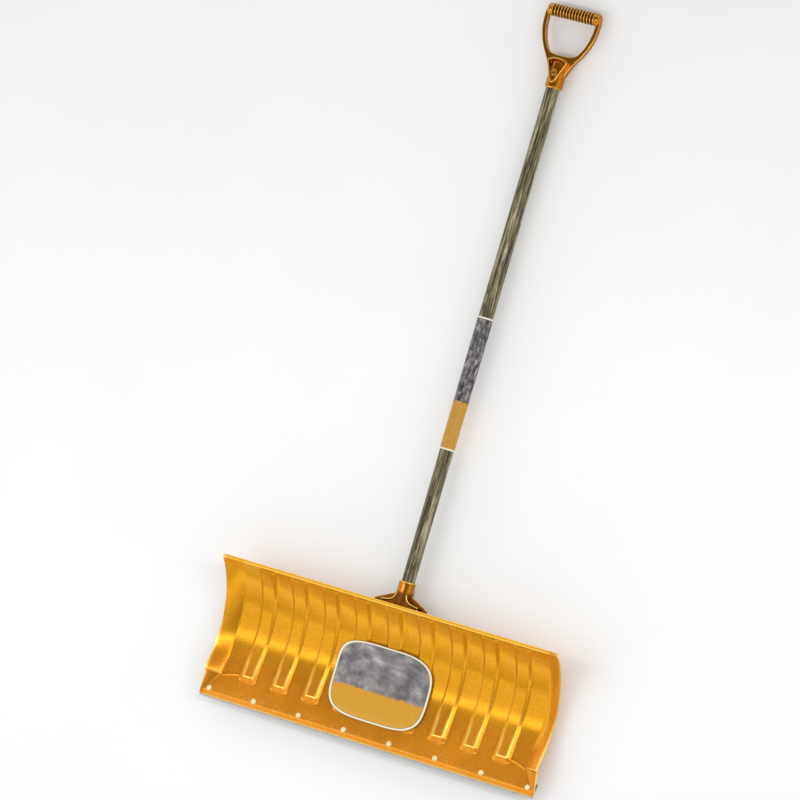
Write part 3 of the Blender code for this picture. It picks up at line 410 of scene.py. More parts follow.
def wing_flare(length):
    """Forward reach of the blade's end edge, with a short rounded step at the ledge."""
    corner = WING_FLARE_CORNER * min(1.0, length / WING_LEDGE)
    if length < WING_MID:
        above = blend(WING_FLARE_FOOT, WING_FLARE_MID, ease(WING_LEDGE, WING_MID, length))
    else:
        share = ease(WING_MID - WING_TOP_EARLY, SHEET_LENGTH - WING_TOP_SHORT, length)
        above = blend(WING_FLARE_MID, WING_FLARE_TOP, share)
    return blend(corner, above, ease(WING_LEDGE - LEDGE_STEP, WING_LEDGE + LEDGE_STEP, length))


def wing_edge(length):
    return BLADE_WIDTH / 2 - WING_TUCK * ease(0.0, WING_LEDGE, length)


def wing_forward(x, length):
    """Forward reach of the face at a place across the blade."""
    root = BLADE_WIDTH / 2 - wing_crease(length)
    if abs(x) <= root:
        return 0.0
    share = min(1.0, (abs(x) - root) / (wing_edge(length) - root))
    bulge = blend(WING_BULGE_LOW, WING_BULGE_TOP, ease(WING_LEDGE, WING_SETTLE, length))
    return wing_flare(length) * share ** bulge


def seam_height(x, length):
    """Faint raised line from the wing's crease to the foot of the first flute."""
    start = BLADE_WIDTH / 2 - WING_WIDTH
    end = RIB_CENTRES[-1] + RIB_CREST_LOW + RIB_WALL_LOW
    if not end <= abs(x) <= start:
        return 0.0
    share = (start - abs(x)) / (start - end)
    line = WING_LEDGE - SEAM_DROP + SEAM_ARCH * math.sin(share * math.pi / 2)
    return SEAM_HEIGHT * math.exp(-((length - line) / SEAM_WIDTH) ** 2)


def base_point(x, length):
    place = sheet_point(length)
    return Vector((x, place.y - wing_forward(x, length), place.z))


def base_normal(x, length):
    """Normal of the face without its flutes, taken over a short span so that creases are eased."""
    span = 0.0012
    rise = 0.0050
    across = base_point(x + span, length) - base_point(x - span, length)
    low = max(0.0, length - rise)
    high = min(SHEET_LENGTH, length + rise)
    along = base_point(x, high) - base_point(x, low)
    return across.cross(along).normalized()


def blade_columns(length, inset):
    """(x, flute offset or None) of each column, following the edges of flutes and wings."""
    crest, wall = rib_widths(length)
    round_share = RIB_ROUND / wall
    steps = [-round_share, 0.0, round_share, 0.5, 1.0 - round_share, 1.0, 1.0 + round_share]
    offsets = [crest - inset + wall * (1.0 - share) for share in steps]
    offsets += [(crest - inset) * share for share in (0.55, 0.0)]
    offsets += [-offset for offset in reversed(offsets[:-1])]
    root = BLADE_WIDTH / 2 - wing_crease(length)
    edge = wing_edge(length)
    wing = [blend(root, edge, share) for share in WING_SHARES]
    first = RIB_CENTRES[-1] + offsets[0]
    shoulder = [blend(first, root, share / SHOULDER_COLUMNS) for share in range(1, SHOULDER_COLUMNS)]
    right = shoulder + wing
    columns = [(-x, None) for x in reversed(right)]
    for index, centre in enumerate(RIB_CENTRES):
        columns += [(centre - offset, offset) for offset in offsets]
        if index < RIB_COUNT - 1:
            start = centre + offsets[0]
            end = RIB_CENTRES[index + 1] - offsets[0]
            columns += [(blend(start, end, share), None) for share in (0.25, 0.5, 0.75)]
    columns += [(x, None) for x in right]
    return columns


def blade_rows():
    """Lengths up the sheet where the rows of the fine blade lie."""
    lengths = [0.0, EDGE_ROW, TOE_CHAMFER_HEIGHT * 0.5, TOE_CHAMFER_HEIGHT - EDGE_ROW,
               TOE_CHAMFER_HEIGHT + EDGE_ROW, 0.013, 0.019, 0.026, 0.034, 0.040]
    ramp = 11
    ramp_span = RIB_END_WALL + 2 * RAMP_MARGIN
    lengths += [RIB_START - RAMP_MARGIN + ramp_span * index / ramp for index in range(ramp + 1)]
    lengths += [WING_LEDGE + LEDGE_STEP * share for share in (-1.6, -1.0, -0.4, 0.1, 0.4, 1.0, 1.6)]
    straight = 8
    start = RIB_START + RIB_END_WALL + 2 * RAMP_MARGIN
    lengths += [blend(start, APRON_LENGTH, index / straight) for index in range(1, straight)]
    curl = 34
    head = SHEET_LENGTH - RIB_STOP
    lengths += [blend(APRON_LENGTH, head - RIB_FADE, index / curl) for index in range(curl + 1)]
    lengths += [head - RIB_FADE * share for share in (0.8, 0.6, 0.4, 0.2, 0.0)]
    lengths += [head + RIB_STOP * 0.3, SHEET_LENGTH + LIP_BEND - SHEET, SHEET_LENGTH]
    return sorted(lengths)


def face_row(length):
    row = []
    for x, offset in blade_columns(length, 0.0):
        height = seam_height(x, length)
        if offset is not None:
            height += rib_height(offset, length, 0.0)
        height -= TOE_CHAMFER_DEPTH * max(0.0, 1.0 - length / TOE_CHAMFER_HEIGHT)
        row.append(base_point(x, length) + height * base_normal(x, length))
    return row


def back_row(length):
    """The blade's back: hollow behind each flute, one wall thickness behind the face."""
    row = []
    for x, offset in blade_columns(length, BACK_INSET):
        height = -SHEET
        if offset is not None:
            height += rib_height(offset, length, BACK_INSET)
        row.append(base_point(x, length) + height * base_normal(x, length))
    return row


def lip_rows():
    """The fold that turns back over the lip: its outer and inner rows."""
    edge = face_row(SHEET_LENGTH)
    inner = back_row(SHEET_LENGTH + LIP_BEND - SHEET)
    along = (sheet_point(SHEET_LENGTH) - sheet_point(SHEET_LENGTH - 0.0005)).normalized()
    back = -sheet_normal(SHEET_LENGTH)
    front = []
    behind = []
    for turn in (22.5, 45.0, 67.5, 90.0):
        turn = math.radians(turn)
        step = back * LIP_BEND * (1.0 - math.cos(turn)) + along * LIP_BEND * math.sin(turn)
        front.append([point + step for point in edge])
        behind.append(inner)
    for reach in (SHEET - LIP_BEND, LIP_FLANGE * 0.6, LIP_FLANGE - EDGE_ROW, LIP_FLANGE):
        front.append([point + back * (LIP_BEND + reach) + along * LIP_BEND for point in edge])
        spare = reach - (SHEET - LIP_BEND)
        behind.append([point + back * spare for point in inner])
    return front, behind


def flute_highlight_and_shadow(point):
    """Amounts at a point of painted highlight along a flute's raised outline and of painted shadow along
    its foot, round its lower end.
    """
    length = (point - TOE).dot(APRON_RISE)
    height = (point - TOE).dot(sheet_normal(0.0))
    if not RIB_START - 0.004 < length < MARKS_END or height < -SHEET / 3:
        return 0.0, 0.0
    offset = min(abs(point.x - centre) for centre in RIB_CENTRES)
    crest, wall = rib_widths(length)
    start = RIB_START + RIB_END_WALL
    outside = max(offset - crest, start - length)
    foot = max(offset - crest - wall, RIB_START - length)
    share = 1.0 - ease(MARKS_FADE, MARKS_END, length)
    rim_highlight = share * (1.0 - ease(MARK_WIDTH * 0.4, MARK_WIDTH * 1.3, abs(outside)))
    foot_shadow = share * (1.0 - ease(MARK_WIDTH * 0.3, MARK_WIDTH, abs(foot)))
    return rim_highlight, foot_shadow


def add_blade(material):
    lengths = blade_rows()
    front = [face_row(length) for length in lengths]
    inner_lip = SHEET_LENGTH + LIP_BEND - SHEET
    back = [back_row(min(length, inner_lip)) for length in lengths]
    lip_front, lip_back = lip_rows()
    mesh = grid_solid("moulded_blade", front + lip_front, back + lip_back)
    merge_points(mesh, outward=True)
    marks = [flute_highlight_and_shadow(vertex.co) for vertex in mesh.vertices]
    tag_amounts(mesh, "rim_highlight", [rim_highlight for rim_highlight, foot_shadow in marks])
    tag_amounts(mesh, "painted_shade", [foot_shadow for rim_highlight, foot_shadow in marks])
    smooth(mesh, 38.0)
    return finish_piece("moulded_blade", mesh, material, "blade")


# -------------------- smaller pieces
def add_wear_strip(material):
    """Sheet steel strip with its edges broken, without the holes that the rivets' tails hide."""
    half = BLADE_WIDTH / 2 - STRIP_SHORT
    steel = bmesh.new()
    bmesh.ops.create_cube(steel, size=1.0)
    size = Matrix.Diagonal((2 * half, STRIP_HEIGHT, STRIP_THICKNESS, 1.0))
    middle = Matrix.Translation((0.0, STRIP_HEIGHT / 2 - STRIP_OVERHANG, -STRIP_THICKNESS / 2))
    bmesh.ops.transform(steel, matrix=middle @ size, verts=steel.verts)
    ends = [edge for edge in steel.edges if abs(edge.verts[0].co.x - edge.verts[1].co.x) > half]
    bmesh.ops.subdivide_edges(steel, edges=ends, cuts=STRIP_CUTS)
    sharp = [edge for edge in steel.edges if edge.calc_face_angle(0.0) > 1.0]
    bmesh.ops.bevel(steel, geom=sharp, offset=STRIP_ROUND, segments=2, affect="EDGES")
    bmesh.ops.transform(steel, matrix=on_sheet(0.0, 0.0, SHEET + GAP), verts=steel.verts)
    mesh = as_mesh("steel_edge", steel)
    smooth(mesh)
    return finish_piece("steel_edge", mesh, material, "wear_strip")


def add_rivets(material):
    tail = GAP + SHEET + GAP + STRIP_THICKNESS + GAP
    dome = [(RIVET_HEAD * math.sin(math.radians(angle)), RIVET_DOME * math.cos(math.radians(angle)))
            for angle in range(0, 90, 9)]
    dimple = [(0.0, RIVET_DOME - DIMPLE_DEPTH), (DIMPLE_RADIUS, RIVET_DOME - DIMPLE_DEPTH * 0.625)]
    foot = [(RIVET_HEAD, EDGE_BREAK), (RIVET_HEAD - EDGE_BREAK, 0.0), (RIVET_SHANK, 0.0),
            (RIVET_SHANK, -tail)]
    shares = [(0.9, 0.0), (1.0, 0.3), (0.9, 0.85), (0.7, 1.0), (0.4, 0.8), (0.0, 0.75)]
    upset = [(RIVET_TAIL * across, -tail - RIVET_TAIL_HEIGHT * down) for across, down in shares]
    for index, x in enumerate(RIVET_PLACES, start=1):
        mesh = turned("domed_rivet_%d" % index, dimple + dome[2:] + foot + upset, 40)
        mesh.transform(on_sheet(x, RIVET_HEIGHT, -GAP))
        smooth(mesh)
        finish_piece("domed_rivet_%d" % index, mesh, material, "strip_rivet_%d" % index)


def moulded_copy(name, node, voxel, rounds, faces, material, carve=None):
    """A CAD piece as it leaves the mould: the same solid with every edge and corner softened."""
    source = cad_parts[node].data.copy()
    merge_points(source)
    holder = bpy.data.objects.new(name, source)
    show(holder)
    remesh = holder.modifiers.new("voxels", "REMESH")
    remesh.mode = "VOXEL"
    remesh.voxel_size = voxel
    relax = holder.modifiers.new("relax", "SMOOTH")
    relax.factor = 0.5
    relax.iterations = rounds
    thin = holder.modifiers.new("thin", "DECIMATE")
    thin.ratio = faces
    bpy.context.view_layer.update()
    graph = bpy.context.evaluated_depsgraph_get()
    mesh = bpy.data.meshes.new_from_object(holder.evaluated_get(graph))
    bpy.data.objects.remove(holder, do_unlink=True)
    mesh.transform(TOOL.inverted())
    if carve:
        carve(mesh)
    mesh.shade_smooth()
    return finish_piece(name, mesh, material, node)


def carve_ridges(mesh):
    """Leave narrow rings round the hand bar, with wide hollows between them."""
    grooved = GRIP_HALF_WIDTH - BAR_INSET - BAR_SMOOTH_END
    pitch = 2 * grooved / BAR_RIDGES
    painted_shade = [0.0] * len(mesh.vertices)
    for index, vertex in enumerate(mesh.vertices):
        x, y, z = vertex.co
        radius = math.hypot(y, z - BAR_HEIGHT)
        if abs(x) > grooved or radius > BAR_RADIUS * (BAR_REACH_TOP if z > BAR_HEIGHT else BAR_REACH):
            continue
        share = ((x + grooved) / pitch) % 1.0
        ridge = ease(0.30, 0.46, share) - ease(0.54, 0.70, share)
        end = ease(0.0, 0.002, grooved - abs(x))
        wanted = BAR_RADIUS - RIDGE_DEPTH * (1.0 - ridge) * end
        scale = wanted / radius
        vertex.co = (x, y * scale, BAR_HEIGHT + (z - BAR_HEIGHT) * scale)
        # painted shade in the hollows between the ridges
        painted_shade[index] = (1.0 - ridge) * end
    tag_amounts(mesh, "painted_shade", painted_shade)


def shade_webs(mesh):
    """Painted shade on the bracket's webs, between the collar and the blade's lip."""
    amounts = []
    for vertex in mesh.vertices:
        below_collar = ease(0.018, 0.026, COLLAR_TOP - vertex.co.z)
        above_lip = ease(LIP_HEIGHT - 0.030, LIP_HEIGHT - 0.004, vertex.co.z)
        amounts.append(0.9 * below_collar * above_lip)
    tag_amounts(mesh, "painted_shade", amounts)


def shaft_radius(height):
    belly = COLLAR_TOP + SHAFT_BELLY * SHAFT_VISIBLE
    if height < belly:
        return blend(SHAFT_FOOT_RADIUS, SHAFT_BELLY_RADIUS, ease(COLLAR_TOP, belly, height))
    return blend(SHAFT_BELLY_RADIUS, SHAFT_HEAD_RADIUS, ease(belly, FERRULE_MOUTH - SHAFT_STRAIGHT, height))


def add_shaft(material):
    """Turned shaft; the grain stands very slightly proud, as on weathered wood."""
    box_low, box_high = (TOOL.inverted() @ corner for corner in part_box("shaft"))
    foot = min(box_low.z, box_high.z)
    head = FERRULE_MOUTH + GRIP_SOCKET_DEPTH - GAP
    rows = 90
    heights = [blend(foot + SHAFT_CHAMFER, head - SHAFT_CHAMFER, index / rows) for index in range(rows + 1)]
    points = [(0.0, head), (SHAFT_HEAD_RADIUS - SHAFT_CHAMFER, head)]
    points += [(shaft_radius(height), height) for height in reversed(heights)]
    points += [(SHAFT_FOOT_RADIUS - SHAFT_CHAMFER, foot), (0.0, foot)]
    mesh = turned("wooden_shaft", points, 72)
    for vertex in mesh.vertices:
        x, y, z = vertex.co
        if COLLAR_TOP < z < FERRULE_MOUTH:
            angle = math.atan2(y, x)
            wave = math.sin(7 * angle + 3.0 * math.sin(9.0 * z)) * math.sin(17 * angle + 11.0 * z)
            scale = 1.0 - GRAIN_RELIEF * (0.5 + 0.5 * wave) / math.hypot(x, y)
            vertex.co = (x * scale, y * scale, z)
    smooth(mesh)
    return finish_piece("wooden_shaft", mesh, material, "shaft")


def screw_place(node, outward):
    """Frame of a CAD screw, with its origin on top of the head and local Z outward; and its length."""
    points = np.array([(TOOL.inverted() @ vertex.co)[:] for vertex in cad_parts[node].data.vertices])
    points = np.unique(points.round(6), axis=0)
    middle = points.mean(axis=0)
    axes = np.linalg.eigh(np.cov((points - middle).T))[1].T
    axis = max(axes, key=lambda line: abs(line.dot(outward)))
    axis = axis * math.copysign(1.0, axis.dot(outward))
    heights = (points - middle) @ axis
    turn = Vector(axis).to_track_quat("Z", "X").to_matrix().to_4x4()
    return Matrix.Translation(Vector(middle + axis * heights.max())) @ turn, heights.max() - heights.min()


def cross_recess(mesh, radius, top, depth):
    """Sink the points of a head that lie in a cross."""
    for vertex in mesh.vertices:
        x, y, z = vertex.co
        arm = min(abs(x), abs(y))
        along = math.hypot(x, y)
        if z > top - depth and along < radius * RECESS_SHARE:
            wall = 1.0 - ease(radius * 0.10, radius * 0.24, arm)
            vertex.co.z = z - depth * wall * (1.0 - along / (radius * RECESS_SHARE)) ** 0.4


def add_screws(material):
    """Turned screws with a cross recess in each head, at the CAD screws' own places."""
    for node, outward, radius, height in SCREWS:
        place, reach = screw_place(node, outward)
        rings = 14
        head = [(0.0, height)]
        head += [(radius * RECESS_SHARE * index / rings, height) for index in range(1, rings + 1)]
        head += [(radius * 0.78, height * 0.94), (radius * 0.92, height * 0.74), (radius, height * 0.42)]
        head += [(radius, EDGE_BREAK), (radius - EDGE_BREAK, 0.0)]
        shank = [(SCREW_SHANK, 0.0), (SCREW_SHANK, height - reach + SCREW_SHANK)]
        shank += [(SCREW_SHANK * 0.3, height - reach), (0.0, height - reach)]
        name = "driven_" + node
        mesh = turned(name, head + shank, 48)
        cross_recess(mesh, radius, height, height * 0.6)
        mesh.transform(place @ Matrix.Translation((0.0, 0.0, -height)))
        smooth(mesh)
        finish_piece(name, mesh, material, node)


# -------------------- labels
def rounded_place(across, up):
    """Draw a point of the square from -1 to 1 in to the label's rounded outline."""
    reach = max(abs(across), abs(up))
    if reach == 0.0:
        return 0.0, 0.0
    power = LABEL_SQUARENESS
    pull = ((abs(across) / reach) ** power + (abs(up) / reach) ** power) ** (-1.0 / power)
    return across * pull, up * pull


def tag_places(mesh, places):
    """Store each point's place on its label, for the printed pattern."""
    layer = mesh.attributes.new("place", "FLOAT_VECTOR", "POINT")
    layer.data.foreach_set("vector", [value for place in places for value in place])


def label_lift(x, length):
    """Height of the label over the face: it lies on the crests and sags a little between them."""
    crest = along_rib(max(length, RIB_START + RIB_END_WALL), RIB_RISE_LOW, RIB_RISE_MID, RIB_RISE_TOP)
    nearest = min(abs(x - centre) for centre in RIB_CENTRES)
    sag = LABEL_SAG * ease(RIB_CREST_MID, RIB_PITCH / 2, nearest)
    drop = 1.0 - ease(LABEL_LOW - LABEL_DROP_MARGIN, RIB_START + RIB_END_WALL, length)
    return crest * (1.0 - LABEL_DROP * drop) + LABEL_LIFT - sag * (1.0 - drop)


def add_blade_label(material):
    middle = (LABEL_LOW + LABEL_HIGH) / 2
    half = (LABEL_HIGH - LABEL_LOW) / 2
    shares = [2.0 * index / LABEL_GRID - 1.0 for index in range(LABEL_GRID + 1)]
    bottom = []
    top = []
    places = []
    for up in shares:
        low_row = []
        high_row = []
        for across in shares:
            x, rise = rounded_place(across, up)
            length = middle + half * rise
            place_x = x * LABEL_HALF_WIDTH + LABEL_SHIFT + LABEL_LEAN * half * rise
            lift = label_lift(place_x, length)
            base = sheet_point(length) + Vector((place_x, 0.0, 0.0))
            low_row.append(base + lift * sheet_normal(length))
            high_row.append(base + (lift + LABEL_THICKNESS) * sheet_normal(length))
            power = LABEL_SQUARENESS
            edge = 1.0 - (abs(x) ** power + abs(rise) ** power) ** (1.0 / power)
            places.append((x, rise, edge))
        bottom.append(low_row)
        top.append(high_row)
    mesh = grid_solid("printed_badge", top, bottom)
    tag_places(mesh, places + places)
    smooth(mesh, 60.0)
    return finish_piece("printed_badge", mesh, material, "blade_label")


def add_shaft_label(material):
    low = COLLAR_TOP + SLEEVE_LOW
    rows = 30
    heights = [blend(low, low + SLEEVE_LENGTH, index / rows) for index in range(rows + 1)]
    outer = [(shaft_radius(height) + GAP + SLEEVE_WALL, height) for height in reversed(heights)]
    inner = [(shaft_radius(height) + GAP, height) for height in heights]
    mesh = turned("printed_sleeve", outer + inner, 64, closed=True)
    places = []
    for vertex in mesh.vertices:
        x, y, z = vertex.co
        places.append((math.atan2(x, -y) / math.pi, (z - low) / SLEEVE_LENGTH, 0.0))
    tag_places(mesh, places)
    smooth(mesh, 60.0)
    return finish_piece("printed_sleeve", mesh, material, "shaft_label")


# -------------------- material helpers
class Shades:
    """A node material with one Principled shader, and short calls to add nodes to it."""

    def __init__(self, name):
        self.material = bpy.data.materials.new(name)
        self.material.use_nodes = True
        self.nodes = self.material.node_tree.nodes
        self.links = self.material.node_tree.links
        self.shader = self.nodes["Principled BSDF"]
        self.place = self.tool_place()

    def add(self, kind, inputs=None, **settings):
        node = self.nodes.new(kind)
        for key, value in settings.items():
            setattr(node, key, value)
        for key, value in (inputs or {}).items():
            self.feed(node.inputs[key], value)
        return node

    def feed(self, socket, value):
        if isinstance(value, bpy.types.NodeSocket):
            self.links.new(value, socket)
        else:
            socket.default_value = value

    def set(self, **inputs):
        """Values and links for the shader's inputs; underscores in the names stand for spaces."""
        for key, value in inputs.items():
            self.feed(self.shader.inputs[key.replace("_", " ")], value)

    def tool_place(self):
        """Coordinates in the tool's own frame, in metres."""
        source = self.add("ShaderNodeTexCoord")
        turn = TOOL.inverted()
        return self.add("ShaderNodeMapping", {"Vector": source.outputs["Object"],
                                              "Location": turn.translation,
                                              "Rotation": turn.to_euler()}).outputs["Vector"]

    def noise(self, scale, stretch=(1.0, 1.0, 1.0), detail=3.0, roughness=0.55, place=None):
        spread = self.add("ShaderNodeMapping", {"Vector": place or self.place, "Scale": stretch})
        node = self.add("ShaderNodeTexNoise", {"Vector": spread.outputs["Vector"], "Scale": scale,
                                               "Detail": detail, "Roughness": roughness})
        return node.outputs["Fac"]

    def cells(self, scale, stretch=(1.0, 1.0, 1.0), output="Color"):
        spread = self.add("ShaderNodeMapping", {"Vector": self.place, "Scale": stretch})
        node = self.add("ShaderNodeTexVoronoi", {"Vector": spread.outputs["Vector"], "Scale": scale})
        return node.outputs[output]

    def span(self, value, low, high, start=0.0, end=1.0):
        node = self.add("ShaderNodeMapRange", {"Value": value, "From Min": low, "From Max": high,
                                               "To Min": start, "To Max": end})
        return node.outputs["Result"]

    def work(self, operation, first, second=0.0):
        node = self.add("ShaderNodeMath", operation=operation)
        self.feed(node.inputs[0], first)
        self.feed(node.inputs[1], second)
        return node.outputs["Value"]

    def mix(self, share, first, second, kind="MIX"):
        node = self.add("ShaderNodeMix", data_type="RGBA", blend_type=kind)
        self.feed(node.inputs[0], share)
        self.feed(node.inputs[6], first)
        self.feed(node.inputs[7], second)
        return node.outputs[2]

    def ramp(self, value, stops):
        node = self.add("ShaderNodeValToRGB", {"Fac": value})
        band = node.color_ramp.elements
        while len(band) < len(stops):
            band.new(0.5)
        for element, (position, colour) in zip(band, stops):
            element.position = position
            element.color = colour
        return node.outputs["Color"]

    def stored(self, name, output="Fac"):
        """An amount or a place stored on the mesh's points."""
        return self.add("ShaderNodeAttribute", attribute_name=name).outputs[output]

    def stain(self, base, amount, strength, colour):
        """Cover the base with a colour, by an amount and a strength."""
        return self.mix(self.work("MULTIPLY", amount, strength), base, colour)

    def roughen(self, rough, amount, strength):
        return self.work("ADD", rough, self.work("MULTIPLY", amount, strength))

    def split(self, vector):
        return self.add("ShaderNodeSeparateXYZ", {"Vector": vector}).outputs

    def edge_highlights(self, low, high, most):
        """How far a place is a convex edge: painted highlight along the edge, partly also edge wear rubbed
        paler by handling.
        """
        pointed = self.add("ShaderNodeNewGeometry").outputs["Pointiness"]
        return self.span(pointed, low, high, 0.0, most)

    def bump(self, height, distance, strength=1.0, under=None):
        node = self.add("ShaderNodeBump", {"Height": height, "Distance": distance, "Strength": strength})
        if under:
            self.feed(node.inputs["Normal"], under)
        return node.outputs["Normal"]


def tint(red, green, blue):
    return (red, green, blue, 1.0)


# -------------------- materials
def gold_blade():
    """Pearly gold polypropylene, scuffed along the toe."""
    look = Shades("gold_blade")
    up = look.split(look.place)["Z"]
    pearl = look.noise(430.0, detail=5.0, roughness=0.75)
    clouds = look.noise(9.0, detail=4.0)
    base = look.ramp(pearl, [(0.32, tint(0.56, 0.232, 0.005)), (0.50, tint(0.76, 0.335, 0.009)),
                             (0.70, tint(0.93, 0.48, 0.022))])
    shade = look.ramp(clouds, [(0.3, tint(0.90, 0.88, 0.86)), (0.7, tint(1.0, 1.0, 1.0))])
    base = look.mix(1.0, base, shade, "MULTIPLY")
    # painted shade: the apron, tilted upwards, is made darker and browner than the curl above it
    apron_shade = look.span(up, 0.125, 0.085)
    base = look.mix(apron_shade, base, look.mix(1.0, base, tint(0.94, 0.76, 1.25), "MULTIPLY"))
    # painted highlight: pale lines round the flutes' lower ends, and along convex edges on the lower blade
    # and at the lip, where it stands partly also for edge wear
    highlight_zone = look.work("MAXIMUM", look.span(up, 0.165, 0.120),
                        look.span(up, LIP_HEIGHT - 0.004, LIP_HEIGHT - 0.001))
    rim_highlight = look.work("MULTIPLY", look.edge_highlights(0.506, 0.535, 0.8), highlight_zone)
    rim_highlight = look.work("MAXIMUM", rim_highlight, look.work("MULTIPLY", look.stored("rim_highlight"), 0.8))
    base = look.mix(rim_highlight, base, tint(1.0, 0.74, 0.16))
    # painted shadow: a dark line along the foot of each flute's lower end
    base = look.stain(base, look.stored("painted_shade"), 0.6, tint(0.26, 0.085, 0.010))
    toe = look.span(up, 0.030, 0.0)
    streaks = look.noise(60.0, (1.0, 1.0, 14.0), detail=5.0, roughness=0.7)
    scuffs = look.work("MULTIPLY", toe, look.span(streaks, 0.50, 0.68))
    base = look.mix(scuffs, base, tint(0.50, 0.27, 0.10))
    scratches = look.span(look.noise(40.0, (14.0, 14.0, 1.0), detail=6.0, roughness=0.75), 0.66, 0.72)
    rough = look.span(clouds, 0.3, 0.7, 0.19, 0.26)
    rough = look.roughen(rough, scuffs, 0.25)
    rough = look.roughen(rough, scratches, 0.12)
    skin = look.bump(look.noise(160.0, detail=2.0), 0.00012, 0.35)
    flakes = look.bump(pearl, 0.00005, 0.35, skin)
    marks = look.bump(scratches, 0.00004, -0.5, flakes)
    look.set(Base_Color=base, Roughness=rough, Normal=marks, Metallic=0.52, Specular_IOR_Level=0.15)
    return look.material


def gold_fittings():
    """Darker glass-filled gold moulding of the socket bracket and the grip."""
    look = Shades("gold_fittings")
    pearl = look.noise(520.0, detail=4.0, roughness=0.7)
    clouds = look.noise(30.0, detail=4.0)
    base = look.ramp(pearl, [(0.32, tint(0.40, 0.150, 0.009)), (0.50, tint(0.51, 0.180, 0.012)),
                             (0.70, tint(0.60, 0.260, 0.020))])
    shade = look.ramp(clouds, [(0.3, tint(0.84, 0.82, 0.80)), (0.7, tint(1.0, 1.0, 1.0))])
    base = look.mix(1.0, base, shade, "MULTIPLY")
    # painted shade from the stored amounts: the hollows between the grip's ridges and the bracket's webs
    # below the collar
    painted_shade = look.stored("painted_shade")
    base = look.mix(painted_shade, base, look.mix(1.0, base, tint(0.24, 0.17, 0.15), "MULTIPLY"))
    # painted highlight along convex edges, partly also edge wear
    base = look.mix(look.edge_highlights(0.507, 0.532, 0.75), base, tint(1.0, 0.66, 0.13))
    rubs = look.span(look.noise(90.0, (1.0, 1.0, 3.0), detail=6.0, roughness=0.75), 0.60, 0.70)
    rough = look.span(clouds, 0.3, 0.7, 0.14, 0.22)
    rough = look.roughen(rough, rubs, 0.14)
    rough = look.roughen(rough, painted_shade, 0.20)
    skin = look.bump(look.noise(260.0, detail=3.0), 0.00006, 0.3)
    flakes = look.bump(pearl, 0.00004, 0.4, skin)
    look.set(Base_Color=base, Roughness=rough, Normal=flakes, Metallic=0.88, Specular_IOR_Level=0.3)
    return look.material


def galvanised_steel():
    """Zinc spangle, rubbed bright at the scraping edge, with a few rusty specks."""
    look = Shades("galvanised_steel")
    up = look.split(look.place)["Z"]
    spangle = look.split(look.cells(110.0))["X"]
    fine = look.noise(300.0, (1.0, 1.0, 6.0), detail=4.0)
    base = look.ramp(spangle, [(0.0, tint(0.22, 0.22, 0.22)), (1.0, tint(0.40, 0.40, 0.39))])
    worn = look.work("MULTIPLY", look.span(up, 0.006, -0.002), look.span(fine, 0.35, 0.60))
    base = look.mix(worn, base, tint(0.52, 0.50, 0.46))
    rust = look.span(look.noise(70.0, detail=6.0, roughness=0.7), 0.66, 0.72)
    base = look.stain(base, rust, 0.7, tint(0.22, 0.09, 0.03))
    rough = look.span(fine, 0.3, 0.7, 0.28, 0.46)
    rough = look.roughen(rough, rust, 0.4)
    grain = look.bump(fine, 0.00004, 0.6)
    look.set(Base_Color=base, Roughness=rough, Normal=grain, Metallic=0.95)
    return look.material


def rivet_metal():
    """Soft pale aluminium with a little dirt."""
    look = Shades("rivet_metal")
    mottle = look.noise(900.0, detail=4.0)
    dirt = look.span(look.noise(240.0, detail=4.0), 0.56, 0.72)
    base = look.ramp(mottle, [(0.35, tint(0.80, 0.68, 0.34)), (0.65, tint(0.95, 0.86, 0.54))])
    base = look.mix(dirt, base, tint(0.42, 0.28, 0.12))
    rough = look.span(mottle, 0.3, 0.7, 0.28, 0.44)
    look.set(Base_Color=base, Roughness=rough, Normal=look.bump(mottle, 0.00005, 0.6), Metallic=0.2)
    return look.material


def shaded_screw_zinc():
    # painted shade: the zinc is made very dark so that the grip screw's head reads as the shaded hole it
    # sits in
    look = Shades("shaded_screw_zinc")
    mottle = look.noise(1300.0, detail=3.0)
    base = look.ramp(mottle, [(0.35, tint(0.11, 0.10, 0.09)), (0.65, tint(0.24, 0.23, 0.20))])
    rough = look.span(mottle, 0.3, 0.7, 0.26, 0.42)
    look.set(Base_Color=base, Roughness=rough, Normal=look.bump(mottle, 0.00003, 0.6), Metallic=0.9)
    return look.material


